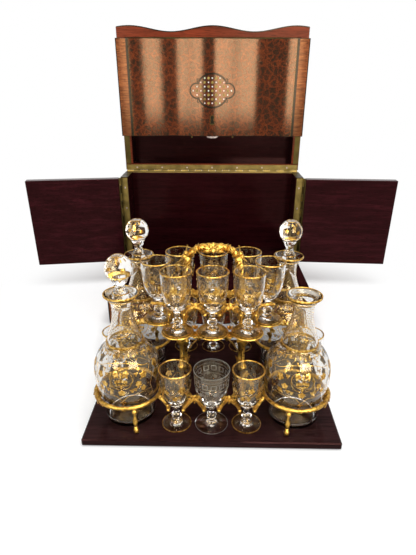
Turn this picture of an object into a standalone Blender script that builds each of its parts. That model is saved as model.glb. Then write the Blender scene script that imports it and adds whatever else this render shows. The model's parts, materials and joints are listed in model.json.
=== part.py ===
"""Liqueur case: a serpentine-fronted box, opened, with its rack of decanters and glasses before it.

Metres, +Z up. The origin is the middle of the box's underside, and the front faces -Y.
The lid, the flap and the wings are modelled shut and hang from empties on their hinge axes,
which turn them open.
"""
import math

import bmesh
import bpy
from mathutils import Matrix, Vector

# Case
CASE_WIDTH = 0.350
CASE_DEPTH = 0.255
CASE_HEIGHT = 0.2145
BASE_HEIGHT = 0.0475
LID_HEIGHT = 0.051
SIDE_WALL = 0.014
BACK_WALL = 0.012
FLOOR_BOARD = 0.009
LID_BOARD = 0.009
RETURN_DEPTH = 0.065
PANEL_EDGE_ROUND = 0.0008

# Serpentine front: thickest at its crests, thinnest in its hollows
FRONT_THICKNESS = 0.019
FRONT_WAVE = 0.0095
FRONT_PERIOD = 0.152
FRONT_STEPS = 32

# Running clearances
SEAT_GAP = 0.0003
PANEL_GAP = 0.0005
OVERRUN = 0.002

# Strip hinges: a leaf on each side, knuckles of a slim barrel, and a pin fixed in one leaf
BARREL_RADIUS = 0.0022
PIN_RADIUS = 0.0010
PIN_CLEARANCE = 0.00035
AXIS_PROUD = 0.0020
LEAF_THICKNESS = 0.0010
LEAF_GAP = 0.0002
LEAF_WIDTH = 0.0120
FLAP_LEAF_WIDTH = 0.0085
KNUCKLE_GAP = 0.0003
LEAF_MARGIN = 0.004
BARREL_SIDES = 6
PIN_SIDES = 8
LID_KNUCKLES = 7
FLAP_KNUCKLES = 7
WING_KNUCKLES = 5

# Openings of the moving panels as they stand
LID_OPEN_DEG = 90.0
FLAP_FOLD_DEG = 90.0
WING_LEFT_OPEN_DEG = 81.4
WING_RIGHT_OPEN_DEG = 86.6

# Lock, locating pins and escutcheon
LOCK_WIDTH = 0.064
LOCK_HEIGHT = 0.034
LOCK_DEPTH = 0.0075
BOLT_WIDTH = 0.022
BOLT_THICKNESS = 0.0030
BOLT_LENGTH = 0.024
BOLT_THROW = 0.005
BOLT_CLEARANCE = 0.0004
BOLT_ROUND = 0.003
STRIKE_LENGTH = 0.056
STRIKE_WIDTH = 0.0095
STRIKE_THICKNESS = 0.0012
LOCATING_PIN_SPACING = 0.080
LOCATING_PIN_RADIUS = 0.0015
LOCATING_PIN_PROUD = 0.004
LOCATING_PIN_SUNK = 0.008
LOCATING_PIN_INSET = 0.0050
LOCATING_HOLE_CLEARANCE = 0.0007
ESCUTCHEON_WIDTH = 0.010
ESCUTCHEON_HEIGHT = 0.017
ESCUTCHEON_THICKNESS = 0.0012
ESCUTCHEON_PROUD = 0.0002
KEYHOLE_RISE = 0.030
KEYHOLE_RADIUS = 0.0018

# Rack board and where it stands before the case
TRAY_WIDTH = 0.298
TRAY_DEPTH = 0.221
TRAY_THICKNESS = 0.009
TRAY_EDGE_ROUND = 0.0012
TRAY_DISTANCE = 0.0628
TRAY_ASIDE = 0.0033
TRAY_YAW_DEG = -0.585
RACK_BACK = 0.0015

# Places on the rack, from its middle
DECANTER_X = 0.100
DECANTER_Y = 0.060
LOWER_GLASS_PITCH = 0.0416
LOWER_FRONT_Y = 0.0815
LOWER_REAR_Y = 0.0885
LOWER_SIDE_X = 0.1243
UPPER_GLASS_PITCH = 0.0420
UPPER_ROW_Y = 0.0325
UPPER_SIDE_X = 0.0686
UPPER_FLOOR = 0.1080

# Glasses
GLASS_HEIGHT = 0.078
GLASS_RIM_RADIUS = 0.0187
GLASS_FOOT_RADIUS = 0.0173
LARGE_GLASS_RIM_RADIUS = 0.0205
LARGE_GLASS_FOOT_RADIUS = 0.0195
GLASS_STEM_RADIUS = 0.0032
GLASS_KNOP_RADIUS = 0.0058
GLASS_STEM_TOP = 0.0270
GLASS_KNOP_LOW = 0.0095
GLASS_KNOP_HIGH = 0.0155
GLASS_FOOT_DOME = 0.0050
GLASS_FOOT_EDGE = 0.0012
GLASS_WALL = 0.0014
GLASS_BOWL_FLOOR = 0.0060
GLASS_SIDES = 10
# Bowl outline: (share of the bowl's height, share of the rim's radius)
BOWL_SHARES = ((0.0, 0.26), (0.12, 0.60), (0.34, 0.85), (1.0, 1.0))
BOWL_INNER_SHARES = ((0.34, 0.85), (1.0, 1.0))

# Decanters and stoppers
DECANTER_HEIGHT = 0.162
DECANTER_BODY_RADIUS = 0.0383
DECANTER_WALL = 0.0030
DECANTER_FLOOR = 0.0060
NECK_BORE_RADIUS = 0.0095
NECK_BORE_DEPTH = 0.024
DECANTER_SIDES = 12
# Outline: (share of the height, share of the body's radius), base to lip
DECANTER_SHARES = ((0.0, 0.770), (0.15, 0.875), (0.29, 0.970), (0.39, 1.0), (0.48, 0.960), (0.56, 0.800),
                   (0.605, 0.590), (0.635, 0.555), (0.65, 0.505), (0.80, 0.420), (0.93, 0.375),
                   (0.985, 0.500), (1.0, 0.495))
# The hollow body inside, as heights and radii of the same body, base to the foot of the neck bore
DECANTER_INNER_SHARES = ((0.15, 0.875), (0.39, 1.0), (0.48, 0.960), (0.645, 0.490))
STOPPER_BALL_RADIUS = 0.0149
STOPPER_BALL_HEIGHT = 0.0330
STOPPER_PLUG_LENGTH = 0.018
STOPPER_PLUG_CLEARANCE = 0.0004
STOPPER_COLLAR_RISE = 0.0012
STOPPER_WAIST_RADIUS = 0.0048
STOPPER_WAIST_RISE = 0.0100
STOPPER_SIDES = 10
# Ball outline: angles down from its crown, in degrees
STOPPER_BALL_ANGLES = (30.0, 60.0, 90.0, 115.0, 138.0)

# Decanter rings
RING_RADIUS = 0.0386
RING_WIRE = 0.0021
RING_RISE = 0.0346
RING_STEPS = 16
LEG_SPREAD = 0.0035
LEG_ANGLES_DEG = (-72.0, 140.0)
# Baluster outline: (share of the height, share of the greatest radius), foot to head
BALUSTER_SHARES = ((0.0, 1.0), (0.14, 0.95), (0.24, 0.50), (0.52, 0.95), (0.74, 0.45), (1.0, 0.75))
LEG_RADIUS = 0.0026
LEG_SIDES = 6

# Stem hooks: two arms reach round each stem from the cartouches between the glasses
HOOK_WIRE = 0.0016
HOOK_TIP = 0.0025
HOOK_END_SHARE = 0.6
HOOK_RISE = 0.0245
CARTOUCHE_BACK = 0.0143
HOOK_CHEEK = 0.0098
HOOK_REACH = 0.0060
HOOK_TIP_SIDE = 0.0088
CARTOUCHE_WIDTH = 0.0070
CARTOUCHE_HEIGHT = 0.0100
CARTOUCHE_DEPTH = 0.0045

# Columns under the upper tier
COLUMN_X = 0.038
COLUMN_Y = 0.030
COLUMN_RADIUS = 0.0052
COLUMN_SIDES = 6
COLUMN_SHARES = ((0.0, 1.0), (0.06, 0.90), (0.10, 0.55), (0.18, 0.80), (0.36, 0.50), (0.50, 0.85),
                 (0.56, 0.45), (0.70, 0.65), (0.80, 1.0), (0.90, 0.60), (1.0, 1.0))

# Upper tier: dishes on a frame of flat bars
DISH_RADIUS = 0.0195
DISH_RIM = 0.0012
DISH_THICKNESS = 0.0022
DISH_SIDES = 12
TIER_BAR_WIDTH = 0.0050
TIER_BAR_HEIGHT = 0.0026

# Upper gallery and handle
GALLERY_RISE = 0.0250
GALLERY_WIRE = 0.0017
CORNER_POST_RADIUS = 0.0015
CORNER_INSET = 0.0010
INNER_POST_X = 0.036
INNER_POST_Y = 0.012
INNER_POST_RADIUS = 0.0022
HANDLE_HALF_SPAN = 0.0315
HANDLE_TOP = 0.2045
HANDLE_SPRING = 0.172
HANDLE_WIRE = 0.0032
HANDLE_ARC_STEPS = 12
HANDLE_COLLAR_RADIUS = 0.0046
HANDLE_COLLAR_LENGTH = 0.0060
HANDLE_COLLAR_ANGLES_DEG = (28.0, 152.0)
CROWN_RADIUS = 0.0050
CROWN_WIDTH = 0.0130
CROWN_RISE = 0.0015

# Sizes that follow
FRONT_Y = -CASE_DEPTH / 2
REAR_Y = CASE_DEPTH / 2
HALF_WIDTH = CASE_WIDTH / 2
FRONT_INNER_Y = FRONT_Y + FRONT_THICKNESS
RETURN_Y = REAR_Y - RETURN_DEPTH
LEAF_BED = LEAF_GAP + LEAF_THICKNESS + SEAT_GAP
LEAF_OFF_AXIS = BARREL_RADIUS + SEAT_GAP
FLAP_LEAF_GAP = AXIS_PROUD - SEAT_GAP - LEAF_THICKNESS
FLAP_BARREL_BED = BARREL_RADIUS - AXIS_PROUD + SEAT_GAP
FLAP_LOW = BASE_HEIGHT + PANEL_GAP
BOLT_Y = FRONT_INNER_Y - LOCK_DEPTH / 2
LOCATING_PIN_Y = FRONT_INNER_Y - LOCATING_PIN_INSET
TRAY_Y = FRONT_Y - TRAY_DISTANCE - TRAY_DEPTH / 2
STAND_Z = TRAY_THICKNESS + SEAT_GAP
TIER_TOP = UPPER_FLOOR - SEAT_GAP
DISH_LOW = TIER_TOP - DISH_THICKNESS
BAR_TOP = DISH_LOW + SEAT_GAP
BAR_LOW = DISH_LOW - TIER_BAR_HEIGHT
POST_FOOT = BAR_TOP + SEAT_GAP
GALLERY_Z = UPPER_FLOOR + GALLERY_RISE
RING_Z = TRAY_THICKNESS + RING_RISE
LOWER_HOOK_Z = TRAY_THICKNESS + HOOK_RISE


def clear_scene():
    for thing in list(bpy.data.objects):
        bpy.data.objects.remove(thing, do_unlink=True)


def linear(hex_colour):
    """The linear colour of an sRGB hex value."""
    parts = [int(hex_colour[i:i + 2], 16) / 255 for i in (0, 2, 4)]
    return [c / 12.92 if c <= 0.04045 else ((c + 0.055) / 1.055) ** 2.4 for c in parts]


def make_material(name, hex_colour, roughness, metallic=0.0, transmission=0.0):
    material = bpy.data.materials.new(name)
    material.use_nodes = True
    shader = material.node_tree.nodes["Principled BSDF"]
    shader.inputs["Base Color"].default_value = (*linear(hex_colour), 1.0)
    shader.inputs["Roughness"].default_value = roughness
    shader.inputs["Metallic"].default_value = metallic
    shader.inputs["Transmission Weight"].default_value = transmission
    material.diffuse_color = (*linear(hex_colour), 1.0)
    return material


clear_scene()
MODEL = bpy.data.collections.new("liqueur_case")
CUTTERS = bpy.data.collections.new("cutters")
for group in (MODEL, CUTTERS):
    bpy.context.scene.collection.children.link(group)

ROSEWOOD = make_material("polished_rosewood", "3A1716", 0.22)
CARCASS = make_material("carcass_mahogany", "6E2C20", 0.35)
BURR = make_material("burr_veneer", "7A2F18", 0.18)
BRASS = make_material("aged_brass", "B5923F", 0.35, metallic=1.0)
STEEL = make_material("lock_steel", "B9A9A2", 0.40, metallic=1.0)
ORMOLU = make_material("gilt_bronze", "D9A32B", 0.28, metallic=1.0)
CRYSTAL = make_material("gilded_crystal", "E9E4D8", 0.05, transmission=0.9)


def add_object(name, data, material=None, collection=MODEL):
    """Link an object, with its material, to a collection."""
    thing = bpy.data.objects.new(name, data)
    collection.objects.link(thing)
    if material is not None and not data.materials:
        data.materials.append(material)
    return thing


def mesh_from(bm, name):
    mesh = bpy.data.meshes.new(name)
    bm.to_mesh(mesh)
    bm.free()
    return mesh


def box(name, low, high, material, collection=MODEL):
    """A block between two corners."""
    low, high = Vector(low), Vector(high)
    bm = bmesh.new()
    bmesh.ops.create_cube(bm, size=1.0)
    size = high - low
    bmesh.ops.scale(bm, vec=size, verts=bm.verts)
    bmesh.ops.translate(bm, vec=(low + high) / 2, verts=bm.verts)
    return add_object(name, mesh_from(bm, name), material, collection)


def rod(name, start, end, radius, sides, material, collection=MODEL):
    """A round rod between two points."""
    start, end = Vector(start), Vector(end)
    run = end - start
    bm = bmesh.new()
    bmesh.ops.create_cone(bm, cap_ends=True, segments=sides, radius1=radius, radius2=radius,
                          depth=run.length)
    turn = run.to_track_quat("Z", "Y").to_matrix().to_4x4()
    bmesh.ops.transform(bm, matrix=Matrix.Translation((start + end) / 2) @ turn, verts=bm.verts)
    return add_object(name, mesh_from(bm, name), material, collection)


def turned(name, profile, sides, material):
    """A turned shape: (radius, height) points, down the outer side, round the Z axis."""
    mesh = bpy.data.meshes.new(name)
    points = [(radius, 0.0, height) for radius, height in profile]
    mesh.from_pydata(points, [(i, i + 1) for i in range(len(points) - 1)], [])
    thing = add_object(name, mesh, material)
    screw = thing.modifiers.new("turn", "SCREW")
    screw.angle = math.tau
    screw.steps = sides
    screw.render_steps = sides
    screw.use_merge_vertices = True
    screw.merge_threshold = 0.00001
    return thing


def prism(name, outline, depth, material, collection=MODEL, holes=()):
    """A flat outline in XY, with any holes, as thick as depth, centred on Z=0."""
    curve = bpy.data.curves.new(name, "CURVE")
    curve.dimensions = "2D"
    curve.fill_mode = "BOTH"
    curve.extrude = depth / 2
    for line in (outline, *holes):
        spline = curve.splines.new("POLY")
        spline.points.add(len(line) - 1)
        for point, (x, y) in zip(spline.points, line):
            point.co = (x, y, 0.0, 1.0)
        spline.use_cyclic_u = True
    return solid(add_object(name, curve, material, collection), collection)


def wire(name, points, radius, material, sides=4, closed=False, swells=None):
    """A bent wire through its points, with filled caps; swells thicken it at each point."""
    curve = bpy.data.curves.new(name, "CURVE")
    curve.dimensions = "3D"
    curve.bevel_depth = radius
    curve.bevel_resolution = (sides - 4) // 2
    curve.use_fill_caps = True
    spline = curve.splines.new("POLY")
    spline.points.add(len(points) - 1)
    for i, (point, place) in enumerate(zip(spline.points, points)):
        point.co = (*place, 1.0)
        point.radius = swells[i] if swells else 1.0
    spline.use_cyclic_u = closed
    return solid(add_object(name, curve, material), MODEL)


def solid(thing, collection):
    """A curve or a modified object made a plain closed mesh, in its place."""
    bpy.context.view_layer.update()
    graph = bpy.context.evaluated_depsgraph_get()
    mesh = bpy.data.meshes.new_from_object(thing.evaluated_get(graph))
    bm = bmesh.new()
    bm.from_mesh(mesh)
    bmesh.ops.remove_doubles(bm, verts=bm.verts, dist=0.000001)
    bm.to_mesh(mesh)
    bm.free()
    name, place = thing.name, thing.matrix_world.copy()
    bpy.data.objects.remove(thing, do_unlink=True)
    mesh.name = name
    result = bpy.data.objects.new(name, mesh)
    collection.objects.link(result)
    result.matrix_world = place
    return result


def fused(name, pieces):
    """One solid from pieces that run into each other."""
    first, others = pieces[0], pieces[1:]
    for other in others:
        union = first.modifiers.new("join", "BOOLEAN")
        union.operation = "UNION"
        union.solver = "EXACT"
        union.object = other
    result = solid(first, MODEL)
    for other in others:
        bpy.data.objects.remove(other, do_unlink=True)
    result.name = name
    result.data.name = name
    return result


def cut(target, cutter):
    """Take the cutter's shape out of the target."""
    cutter.hide_render = True
    cutter.display_type = "WIRE"
    difference = target.modifiers.new("cut_" + cutter.name, "BOOLEAN")
    difference.operation = "DIFFERENCE"
    difference.solver = "EXACT"
    difference.object = cutter


def soften(target, width):
    """Take the sharpness off the edges."""
    bevel = target.modifiers.new("edge", "BEVEL")
    bevel.width = width
    bevel.segments = 1
    bevel.limit_method = "ANGLE"
    bevel.angle_limit = math.radians(50)


def shade(target, degrees=35.0):
    target.data.shade_smooth()
    target.data.set_sharp_from_angle(angle=math.radians(degrees))


def empty(name, place, parent=None):
    """An empty on a joint's axis; what it carries is placed in the shut case's own frame."""
    axis = bpy.data.objects.new(name, None)
    axis.empty_display_size = LEAF_WIDTH
    MODEL.objects.link(axis)
    axis.location = place
    if parent is not None:
        hang(axis, parent)
    return axis


def hang(thing, axis):
    thing.parent = axis
    thing.matrix_parent_inverse = Matrix.Translation(REST_PLACE[axis.name]).inverted()


REST_PLACE = {
    "lid_axis": (0.0, REAR_Y + AXIS_PROUD, CASE_HEIGHT),
    "flap_axis": (0.0, FRONT_INNER_Y + AXIS_PROUD, CASE_HEIGHT),
    "wing_left_axis": (-HALF_WIDTH - AXIS_PROUD, RETURN_Y, BASE_HEIGHT),
    "wing_right_axis": (HALF_WIDTH + AXIS_PROUD, RETURN_Y, BASE_HEIGHT),
    "rack_place": (0.0, 0.0, 0.0),
}


def make_axes():
    """The hinge axes, turned as the case stands open, and the rack's place before it."""
    lid = empty("lid_axis", REST_PLACE["lid_axis"])
    flap = empty("flap_axis", REST_PLACE["flap_axis"], lid)
    left = empty("wing_left_axis", REST_PLACE["wing_left_axis"])
    right = empty("wing_right_axis", REST_PLACE["wing_right_axis"])
    rack = empty("rack_place", (TRAY_ASIDE, TRAY_Y, 0.0))
    lid.rotation_euler.x = -math.radians(LID_OPEN_DEG)
    flap.rotation_euler.x = math.radians(FLAP_FOLD_DEG)
    left.rotation_euler.z = -math.radians(WING_LEFT_OPEN_DEG)
    right.rotation_euler.z = math.radians(WING_RIGHT_OPEN_DEG)
    rack.rotation_euler.z = math.radians(TRAY_YAW_DEG)
    return lid, flap, left, right, rack


def front_line(x):
    """Depth of the serpentine front at a place across it: crests in the middle and near the ends."""
    return FRONT_Y + FRONT_WAVE * (1 - math.cos(math.tau * x / FRONT_PERIOD)) / 2


def serpentine_outline(half_width, back_y):
    """A plan with the serpentine front and a straight back."""
    xs = [-half_width + 2 * half_width * i / FRONT_STEPS for i in range(FRONT_STEPS + 1)]
    return [(x, front_line(x)) for x in xs] + [(half_width, back_y), (-half_width, back_y)]


def make_base():
    """Low serpentine-fronted walls with the floor board inside them."""
    frame = prism("base_frame", serpentine_outline(HALF_WIDTH, REAR_Y), BASE_HEIGHT, CARCASS)
    frame.location.z = BASE_HEIGHT / 2
    inside_x = HALF_WIDTH - SIDE_WALL
    cut(frame, box("base_hollow", (-inside_x, FRONT_INNER_Y, -OVERRUN),
                   (inside_x, REAR_Y - BACK_WALL, BASE_HEIGHT + OVERRUN), None, CUTTERS))
    box("base_floor", (-inside_x + SEAT_GAP, FRONT_INNER_Y + SEAT_GAP, 0.0),
        (inside_x - SEAT_GAP, REAR_Y - BACK_WALL - SEAT_GAP, FLOOR_BOARD), CARCASS)
    bed = STRIKE_THICKNESS + SEAT_GAP
    for x_half, y_half, depth, name in (
            (STRIKE_LENGTH / 2 + SEAT_GAP, STRIKE_WIDTH / 2 + SEAT_GAP, bed, "strike_bed"),
            (BOLT_WIDTH / 2 + PANEL_GAP, BOLT_THICKNESS / 2 + PANEL_GAP, BOLT_THROW + bed, "bolt_mortise")):
        cut(frame, box(name, (-x_half, BOLT_Y - y_half, BASE_HEIGHT - depth),
                       (x_half, BOLT_Y + y_half, BASE_HEIGHT + OVERRUN), None, CUTTERS))
    for side in (-1, 1):
        x = side * LOCATING_PIN_SPACING / 2
        radius = LOCATING_PIN_RADIUS + LOCATING_HOLE_CLEARANCE
        cut(frame, rod("pin_hole_" + ("left" if side < 0 else "right"),
                       (x, LOCATING_PIN_Y, BASE_HEIGHT - LOCATING_PIN_PROUD - LOCATING_HOLE_CLEARANCE),
                       (x, LOCATING_PIN_Y, BASE_HEIGHT + OVERRUN), radius, PIN_SIDES, None, CUTTERS))


def make_strike():
    """Brass plate in the front rim, with the slot that takes the bolt."""
    plate = box("strike_plate",
                (-STRIKE_LENGTH / 2, BOLT_Y - STRIKE_WIDTH / 2, BASE_HEIGHT - STRIKE_THICKNESS),
                (STRIKE_LENGTH / 2, BOLT_Y + STRIKE_WIDTH / 2, BASE_HEIGHT), BRASS)
    slot_x = BOLT_WIDTH / 2 + PANEL_GAP
    slot_y = BOLT_THICKNESS / 2 + PANEL_GAP
    cut(plate, box("strike_slot", (-slot_x, BOLT_Y - slot_y, BASE_HEIGHT - STRIKE_THICKNESS - OVERRUN),
                   (slot_x, BOLT_Y + slot_y, BASE_HEIGHT + OVERRUN), None, CUTTERS))


def make_back_and_returns():
    """The back board, up to the lid's hinge, and the two short fixed side returns."""
    low = BASE_HEIGHT + SEAT_GAP
    back = box("back_panel", (-HALF_WIDTH, REAR_Y - BACK_WALL, low),
               (HALF_WIDTH, REAR_Y, CASE_HEIGHT - LEAF_BED), ROSEWOOD)
    soften(back, PANEL_EDGE_ROUND)
    for side, word in ((-1, "left"), (1, "right")):
        xs = sorted((side * (HALF_WIDTH - SIDE_WALL), side * HALF_WIDTH))
        box("return_" + word, (xs[0], RETURN_Y + LEAF_BED, low),
            (xs[1], REAR_Y - BACK_WALL - SEAT_GAP, CASE_HEIGHT - SEAT_GAP), ROSEWOOD)


def make_wings(left_axis, right_axis):
    """Swing-out side panels, between the base rim and the lid when they are shut."""
    for side, word, axis in ((-1, "left", left_axis), (1, "right", right_axis)):
        xs = sorted((side * (HALF_WIDTH - SIDE_WALL), side * HALF_WIDTH))
        wing = box("wing_" + word, (xs[0], FRONT_INNER_Y + PANEL_GAP, BASE_HEIGHT + PANEL_GAP),
                   (xs[1], RETURN_Y - LEAF_BED, CASE_HEIGHT - PANEL_GAP), ROSEWOOD)
        soften(wing, PANEL_EDGE_ROUND)
        hang(wing, axis)


def make_lid(axis):
    """The lid's four walls, the front one serpentine, under a flat top board."""
    top_z = CASE_HEIGHT + LID_HEIGHT
    wall_high = top_z - LID_BOARD - SEAT_GAP
    wall_low = CASE_HEIGHT + SEAT_GAP
    outline = serpentine_outline(HALF_WIDTH, REAR_Y)
    frame = prism("lid_frame", outline, wall_high - wall_low, CARCASS)
    frame.location.z = (wall_high + wall_low) / 2
    inside_x = HALF_WIDTH - SIDE_WALL
    cut(frame, box("lid_hollow", (-inside_x, FRONT_INNER_Y, wall_low - OVERRUN),
                   (inside_x, REAR_Y - BACK_WALL, wall_high + OVERRUN), None, CUTTERS))
    cut(frame, box("lid_leaf_bed", (-HALF_WIDTH - OVERRUN, REAR_Y - BACK_WALL - OVERRUN, wall_low - OVERRUN),
                   (HALF_WIDTH + OVERRUN, REAR_Y + OVERRUN, CASE_HEIGHT + LEAF_BED), None, CUTTERS))
    bed_x = inside_x + SEAT_GAP
    cut(frame, box("flap_barrel_bed_above",
                   (-bed_x, FRONT_INNER_Y - FLAP_BARREL_BED, wall_low - OVERRUN),
                   (bed_x, FRONT_INNER_Y + OVERRUN, CASE_HEIGHT + LEAF_OFF_AXIS), None, CUTTERS))
    board = prism("lid_top", outline, LID_BOARD, BURR)
    board.location.z = top_z - LID_BOARD / 2
    for piece in (frame, board):
        hang(piece, axis)
    for name in ("lid_hollow", "lid_leaf_bed", "flap_barrel_bed_above"):
        hang(bpy.data.objects[name], axis)


def make_flap(axis):
    """The serpentine burr front, its lock, its escutcheon and its locating pins."""
    high = CASE_HEIGHT - SEAT_GAP
    outline = serpentine_outline(HALF_WIDTH - SEAT_GAP, FRONT_INNER_Y)
    panel = prism("flap_panel", outline, high - FLAP_LOW, BURR)
    panel.location.z = (high + FLAP_LOW) / 2
    bed_x = HALF_WIDTH - SIDE_WALL + SEAT_GAP
    cutters = [
        box("flap_barrel_bed_below",
            (-bed_x, FRONT_INNER_Y - FLAP_BARREL_BED, CASE_HEIGHT - LEAF_OFF_AXIS),
            (bed_x, FRONT_INNER_Y + OVERRUN, high + OVERRUN), None, CUTTERS),
        box("lock_pocket",
            (-LOCK_WIDTH / 2 - SEAT_GAP, FRONT_INNER_Y - LOCK_DEPTH - SEAT_GAP, FLAP_LOW - OVERRUN),
            (LOCK_WIDTH / 2 + SEAT_GAP, FRONT_INNER_Y + OVERRUN, FLAP_LOW + LOCK_HEIGHT + SEAT_GAP),
            None, CUTTERS),
    ]
    lock = box("lock_case", (-LOCK_WIDTH / 2, FRONT_INNER_Y - LOCK_DEPTH, FLAP_LOW),
               (LOCK_WIDTH / 2, FRONT_INNER_Y, FLAP_LOW + LOCK_HEIGHT), STEEL)
    channel_x = BOLT_WIDTH / 2 + BOLT_CLEARANCE
    channel_y = BOLT_THICKNESS / 2 + BOLT_CLEARANCE
    channel = box("bolt_channel", (-channel_x, BOLT_Y - channel_y, FLAP_LOW - OVERRUN),
                  (channel_x, BOLT_Y + channel_y, FLAP_LOW + BOLT_LENGTH + BOLT_CLEARANCE), None, CUTTERS)
    cut(lock, channel)
    keyhole_z = FLAP_LOW + KEYHOLE_RISE
    keyway = rod("keyway", (0.0, FRONT_Y - OVERRUN, keyhole_z),
                 (0.0, FRONT_INNER_Y - LOCK_DEPTH / 2, keyhole_z), KEYHOLE_RADIUS, PIN_SIDES, None, CUTTERS)
    cut(lock, keyway)
    cutters.append(keyway)
    plate = escutcheon_plate("escutcheon", 0.0, FRONT_Y - ESCUTCHEON_PROUD, keyhole_z, BRASS, MODEL)
    cut(plate, keyway)
    cutters.append(escutcheon_plate("escutcheon_bed", SEAT_GAP, FRONT_Y - ESCUTCHEON_PROUD, keyhole_z,
                                    None, CUTTERS))
    pins = []
    for side, word in ((-1, "left"), (1, "right")):
        x = side * LOCATING_PIN_SPACING / 2
        top = FLAP_LOW + LOCATING_PIN_SUNK
        pins.append(rod("locating_pin_" + word, (x, LOCATING_PIN_Y, FLAP_LOW - LOCATING_PIN_PROUD),
                        (x, LOCATING_PIN_Y, top), LOCATING_PIN_RADIUS, PIN_SIDES, BRASS))
        cutters.append(rod("pin_seat_" + word, (x, LOCATING_PIN_Y, FLAP_LOW - OVERRUN),
                           (x, LOCATING_PIN_Y, top + SEAT_GAP), LOCATING_PIN_RADIUS + SEAT_GAP,
                           PIN_SIDES, None, CUTTERS))
    for cutter in cutters:
        cut(panel, cutter)
    for piece in [panel, lock, plate, channel, make_bolt()] + pins + cutters:
        hang(piece, axis)


def escutcheon_plate(name, grown, face_y, z, material, collection):
    """An upright oval plate let into the flap's face; grown widens and deepens it all round."""
    count = 2 * PIN_SIDES
    outline = []
    for i in range(count):
        angle = math.tau * i / count
        outline.append(((ESCUTCHEON_WIDTH / 2 + grown) * math.cos(angle),
                        (ESCUTCHEON_HEIGHT / 2 + grown) * math.sin(angle)))
    depth = ESCUTCHEON_THICKNESS + 2 * grown
    plate = prism(name, outline, depth, material, collection)
    plate.rotation_euler.x = math.radians(90)
    plate.location = (0.0, face_y + depth / 2 - grown, z)
    return plate


def make_bolt():
    """The lock's flat bolt, thrown, with a rounded nose below the flap's edge."""
    half = BOLT_WIDTH / 2
    low = -BOLT_THROW
    nose = [(math.cos(math.pi + math.pi * i / 8), math.sin(math.pi + math.pi * i / 8)) for i in range(9)]
    outline = [(half * x, low + BOLT_ROUND * (1 + y)) for x, y in nose]
    outline += [(half, low + BOLT_LENGTH), (-half, low + BOLT_LENGTH)]
    bolt = prism("lock_bolt", outline, BOLT_THICKNESS, STEEL)
    bolt.rotation_euler.x = math.radians(90)
    bolt.location = (0.0, BOLT_Y, FLAP_LOW)
    return bolt


def strip_hinge(fixed_name, moving_name, length, leaf_width, knuckles, place, gap=LEAF_GAP, spread=0.0):
    """Two leaves of a strip hinge, round the Z axis: the fixed one keeps the pin, on the +Y side.

    Both leaves reach towards -X, gap off the axis, until spread turns the moving one round it.
    place takes them to the hinge's axis.
    """
    slot = length / knuckles
    inner = -LEAF_OFF_AXIS
    leaves = []
    for moving in (False, True):
        sign = -1 if moving else 1
        ys = sorted((sign * gap, sign * (gap + LEAF_THICKNESS)))
        name = moving_name if moving else fixed_name
        pieces = [box(name, (inner - leaf_width, ys[0], -length / 2), (inner, ys[1], length / 2), BRASS)]
        profile = []
        for i in range(knuckles):
            low = -length / 2 + i * slot
            high = low + slot
            own = (i % 2 == 1) == moving
            if own:
                low_end = low + (KNUCKLE_GAP if i else 0.0)
                high_end = high - (KNUCKLE_GAP if i < knuckles - 1 else 0.0)
                reach = -(PIN_RADIUS + PIN_CLEARANCE + BARREL_RADIUS) / 2 if moving else 0.0
                pieces.append(box("tab", (inner - SEAT_GAP, ys[0], low_end), (reach, ys[1], high_end),
                                  BRASS))
                if moving:
                    bore = PIN_RADIUS + PIN_CLEARANCE
                    sleeve = [(bore, low_end), (bore, high_end), (BARREL_RADIUS, high_end),
                              (BARREL_RADIUS, low_end), (bore, low_end)]
                    pieces.append(turned("knuckle", sleeve, BARREL_SIDES, BRASS))
                else:
                    profile += [(BARREL_RADIUS, low_end), (BARREL_RADIUS, high_end)]
            elif not moving:
                profile += [(PIN_RADIUS, low - KNUCKLE_GAP), (PIN_RADIUS, high + KNUCKLE_GAP)]
        if not moving:
            profile = [(0.0, -length / 2)] + profile + [(0.0, length / 2)]
            pieces.append(turned("barrel", profile[::-1], BARREL_SIDES, BRASS))
        leaf = fused(name, pieces)
        leaf.matrix_world = place @ Matrix.Rotation(spread if moving else 0.0, 4, "Z")
        leaves.append(leaf)
    return leaves


def frame_of(x_axis, y_axis, origin):
    """A place whose local X and Y point along the two axes."""
    x_axis, y_axis = Vector(x_axis), Vector(y_axis)
    turn = Matrix((x_axis, y_axis, x_axis.cross(y_axis))).transposed().to_4x4()
    return Matrix.Translation(origin) @ turn


def make_hinges(lid_axis, flap_axis, left_axis, right_axis):
    """Strip hinges of the lid, the flap and both wings."""
    across = 2 * (HALF_WIDTH - SIDE_WALL)
    along = CASE_HEIGHT - BASE_HEIGHT - 2 * LEAF_MARGIN
    lid_leaves = strip_hinge("lid_hinge_case_leaf", "lid_hinge_lid_leaf", CASE_WIDTH - 2 * LEAF_MARGIN,
                             BACK_WALL - AXIS_PROUD, LID_KNUCKLES,
                             frame_of((0, 1, 0), (0, 0, -1), REST_PLACE["lid_axis"]))
    flap_leaves = strip_hinge("flap_hinge_lid_leaf", "flap_hinge_flap_leaf", across - 2 * LEAF_MARGIN,
                              FLAP_LEAF_WIDTH - AXIS_PROUD, FLAP_KNUCKLES,
                              frame_of((0, 0, -1), (0, -1, 0), REST_PLACE["flap_axis"]),
                              FLAP_LEAF_GAP, math.pi)
    hang(lid_leaves[1], lid_axis)
    hang(flap_leaves[0], lid_axis)
    hang(flap_leaves[1], flap_axis)
    middle = (CASE_HEIGHT + BASE_HEIGHT) / 2
    for side, word, axis in ((-1, "left", left_axis), (1, "right", right_axis)):
        place = frame_of((side, 0, 0), (0, 1, 0), (side * (HALF_WIDTH + AXIS_PROUD), RETURN_Y, middle))
        leaves = strip_hinge("wing_hinge_case_leaf_" + word, "wing_hinge_wing_leaf_" + word, along,
                             LEAF_WIDTH, WING_KNUCKLES, place)
        hang(leaves[1], axis)


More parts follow.
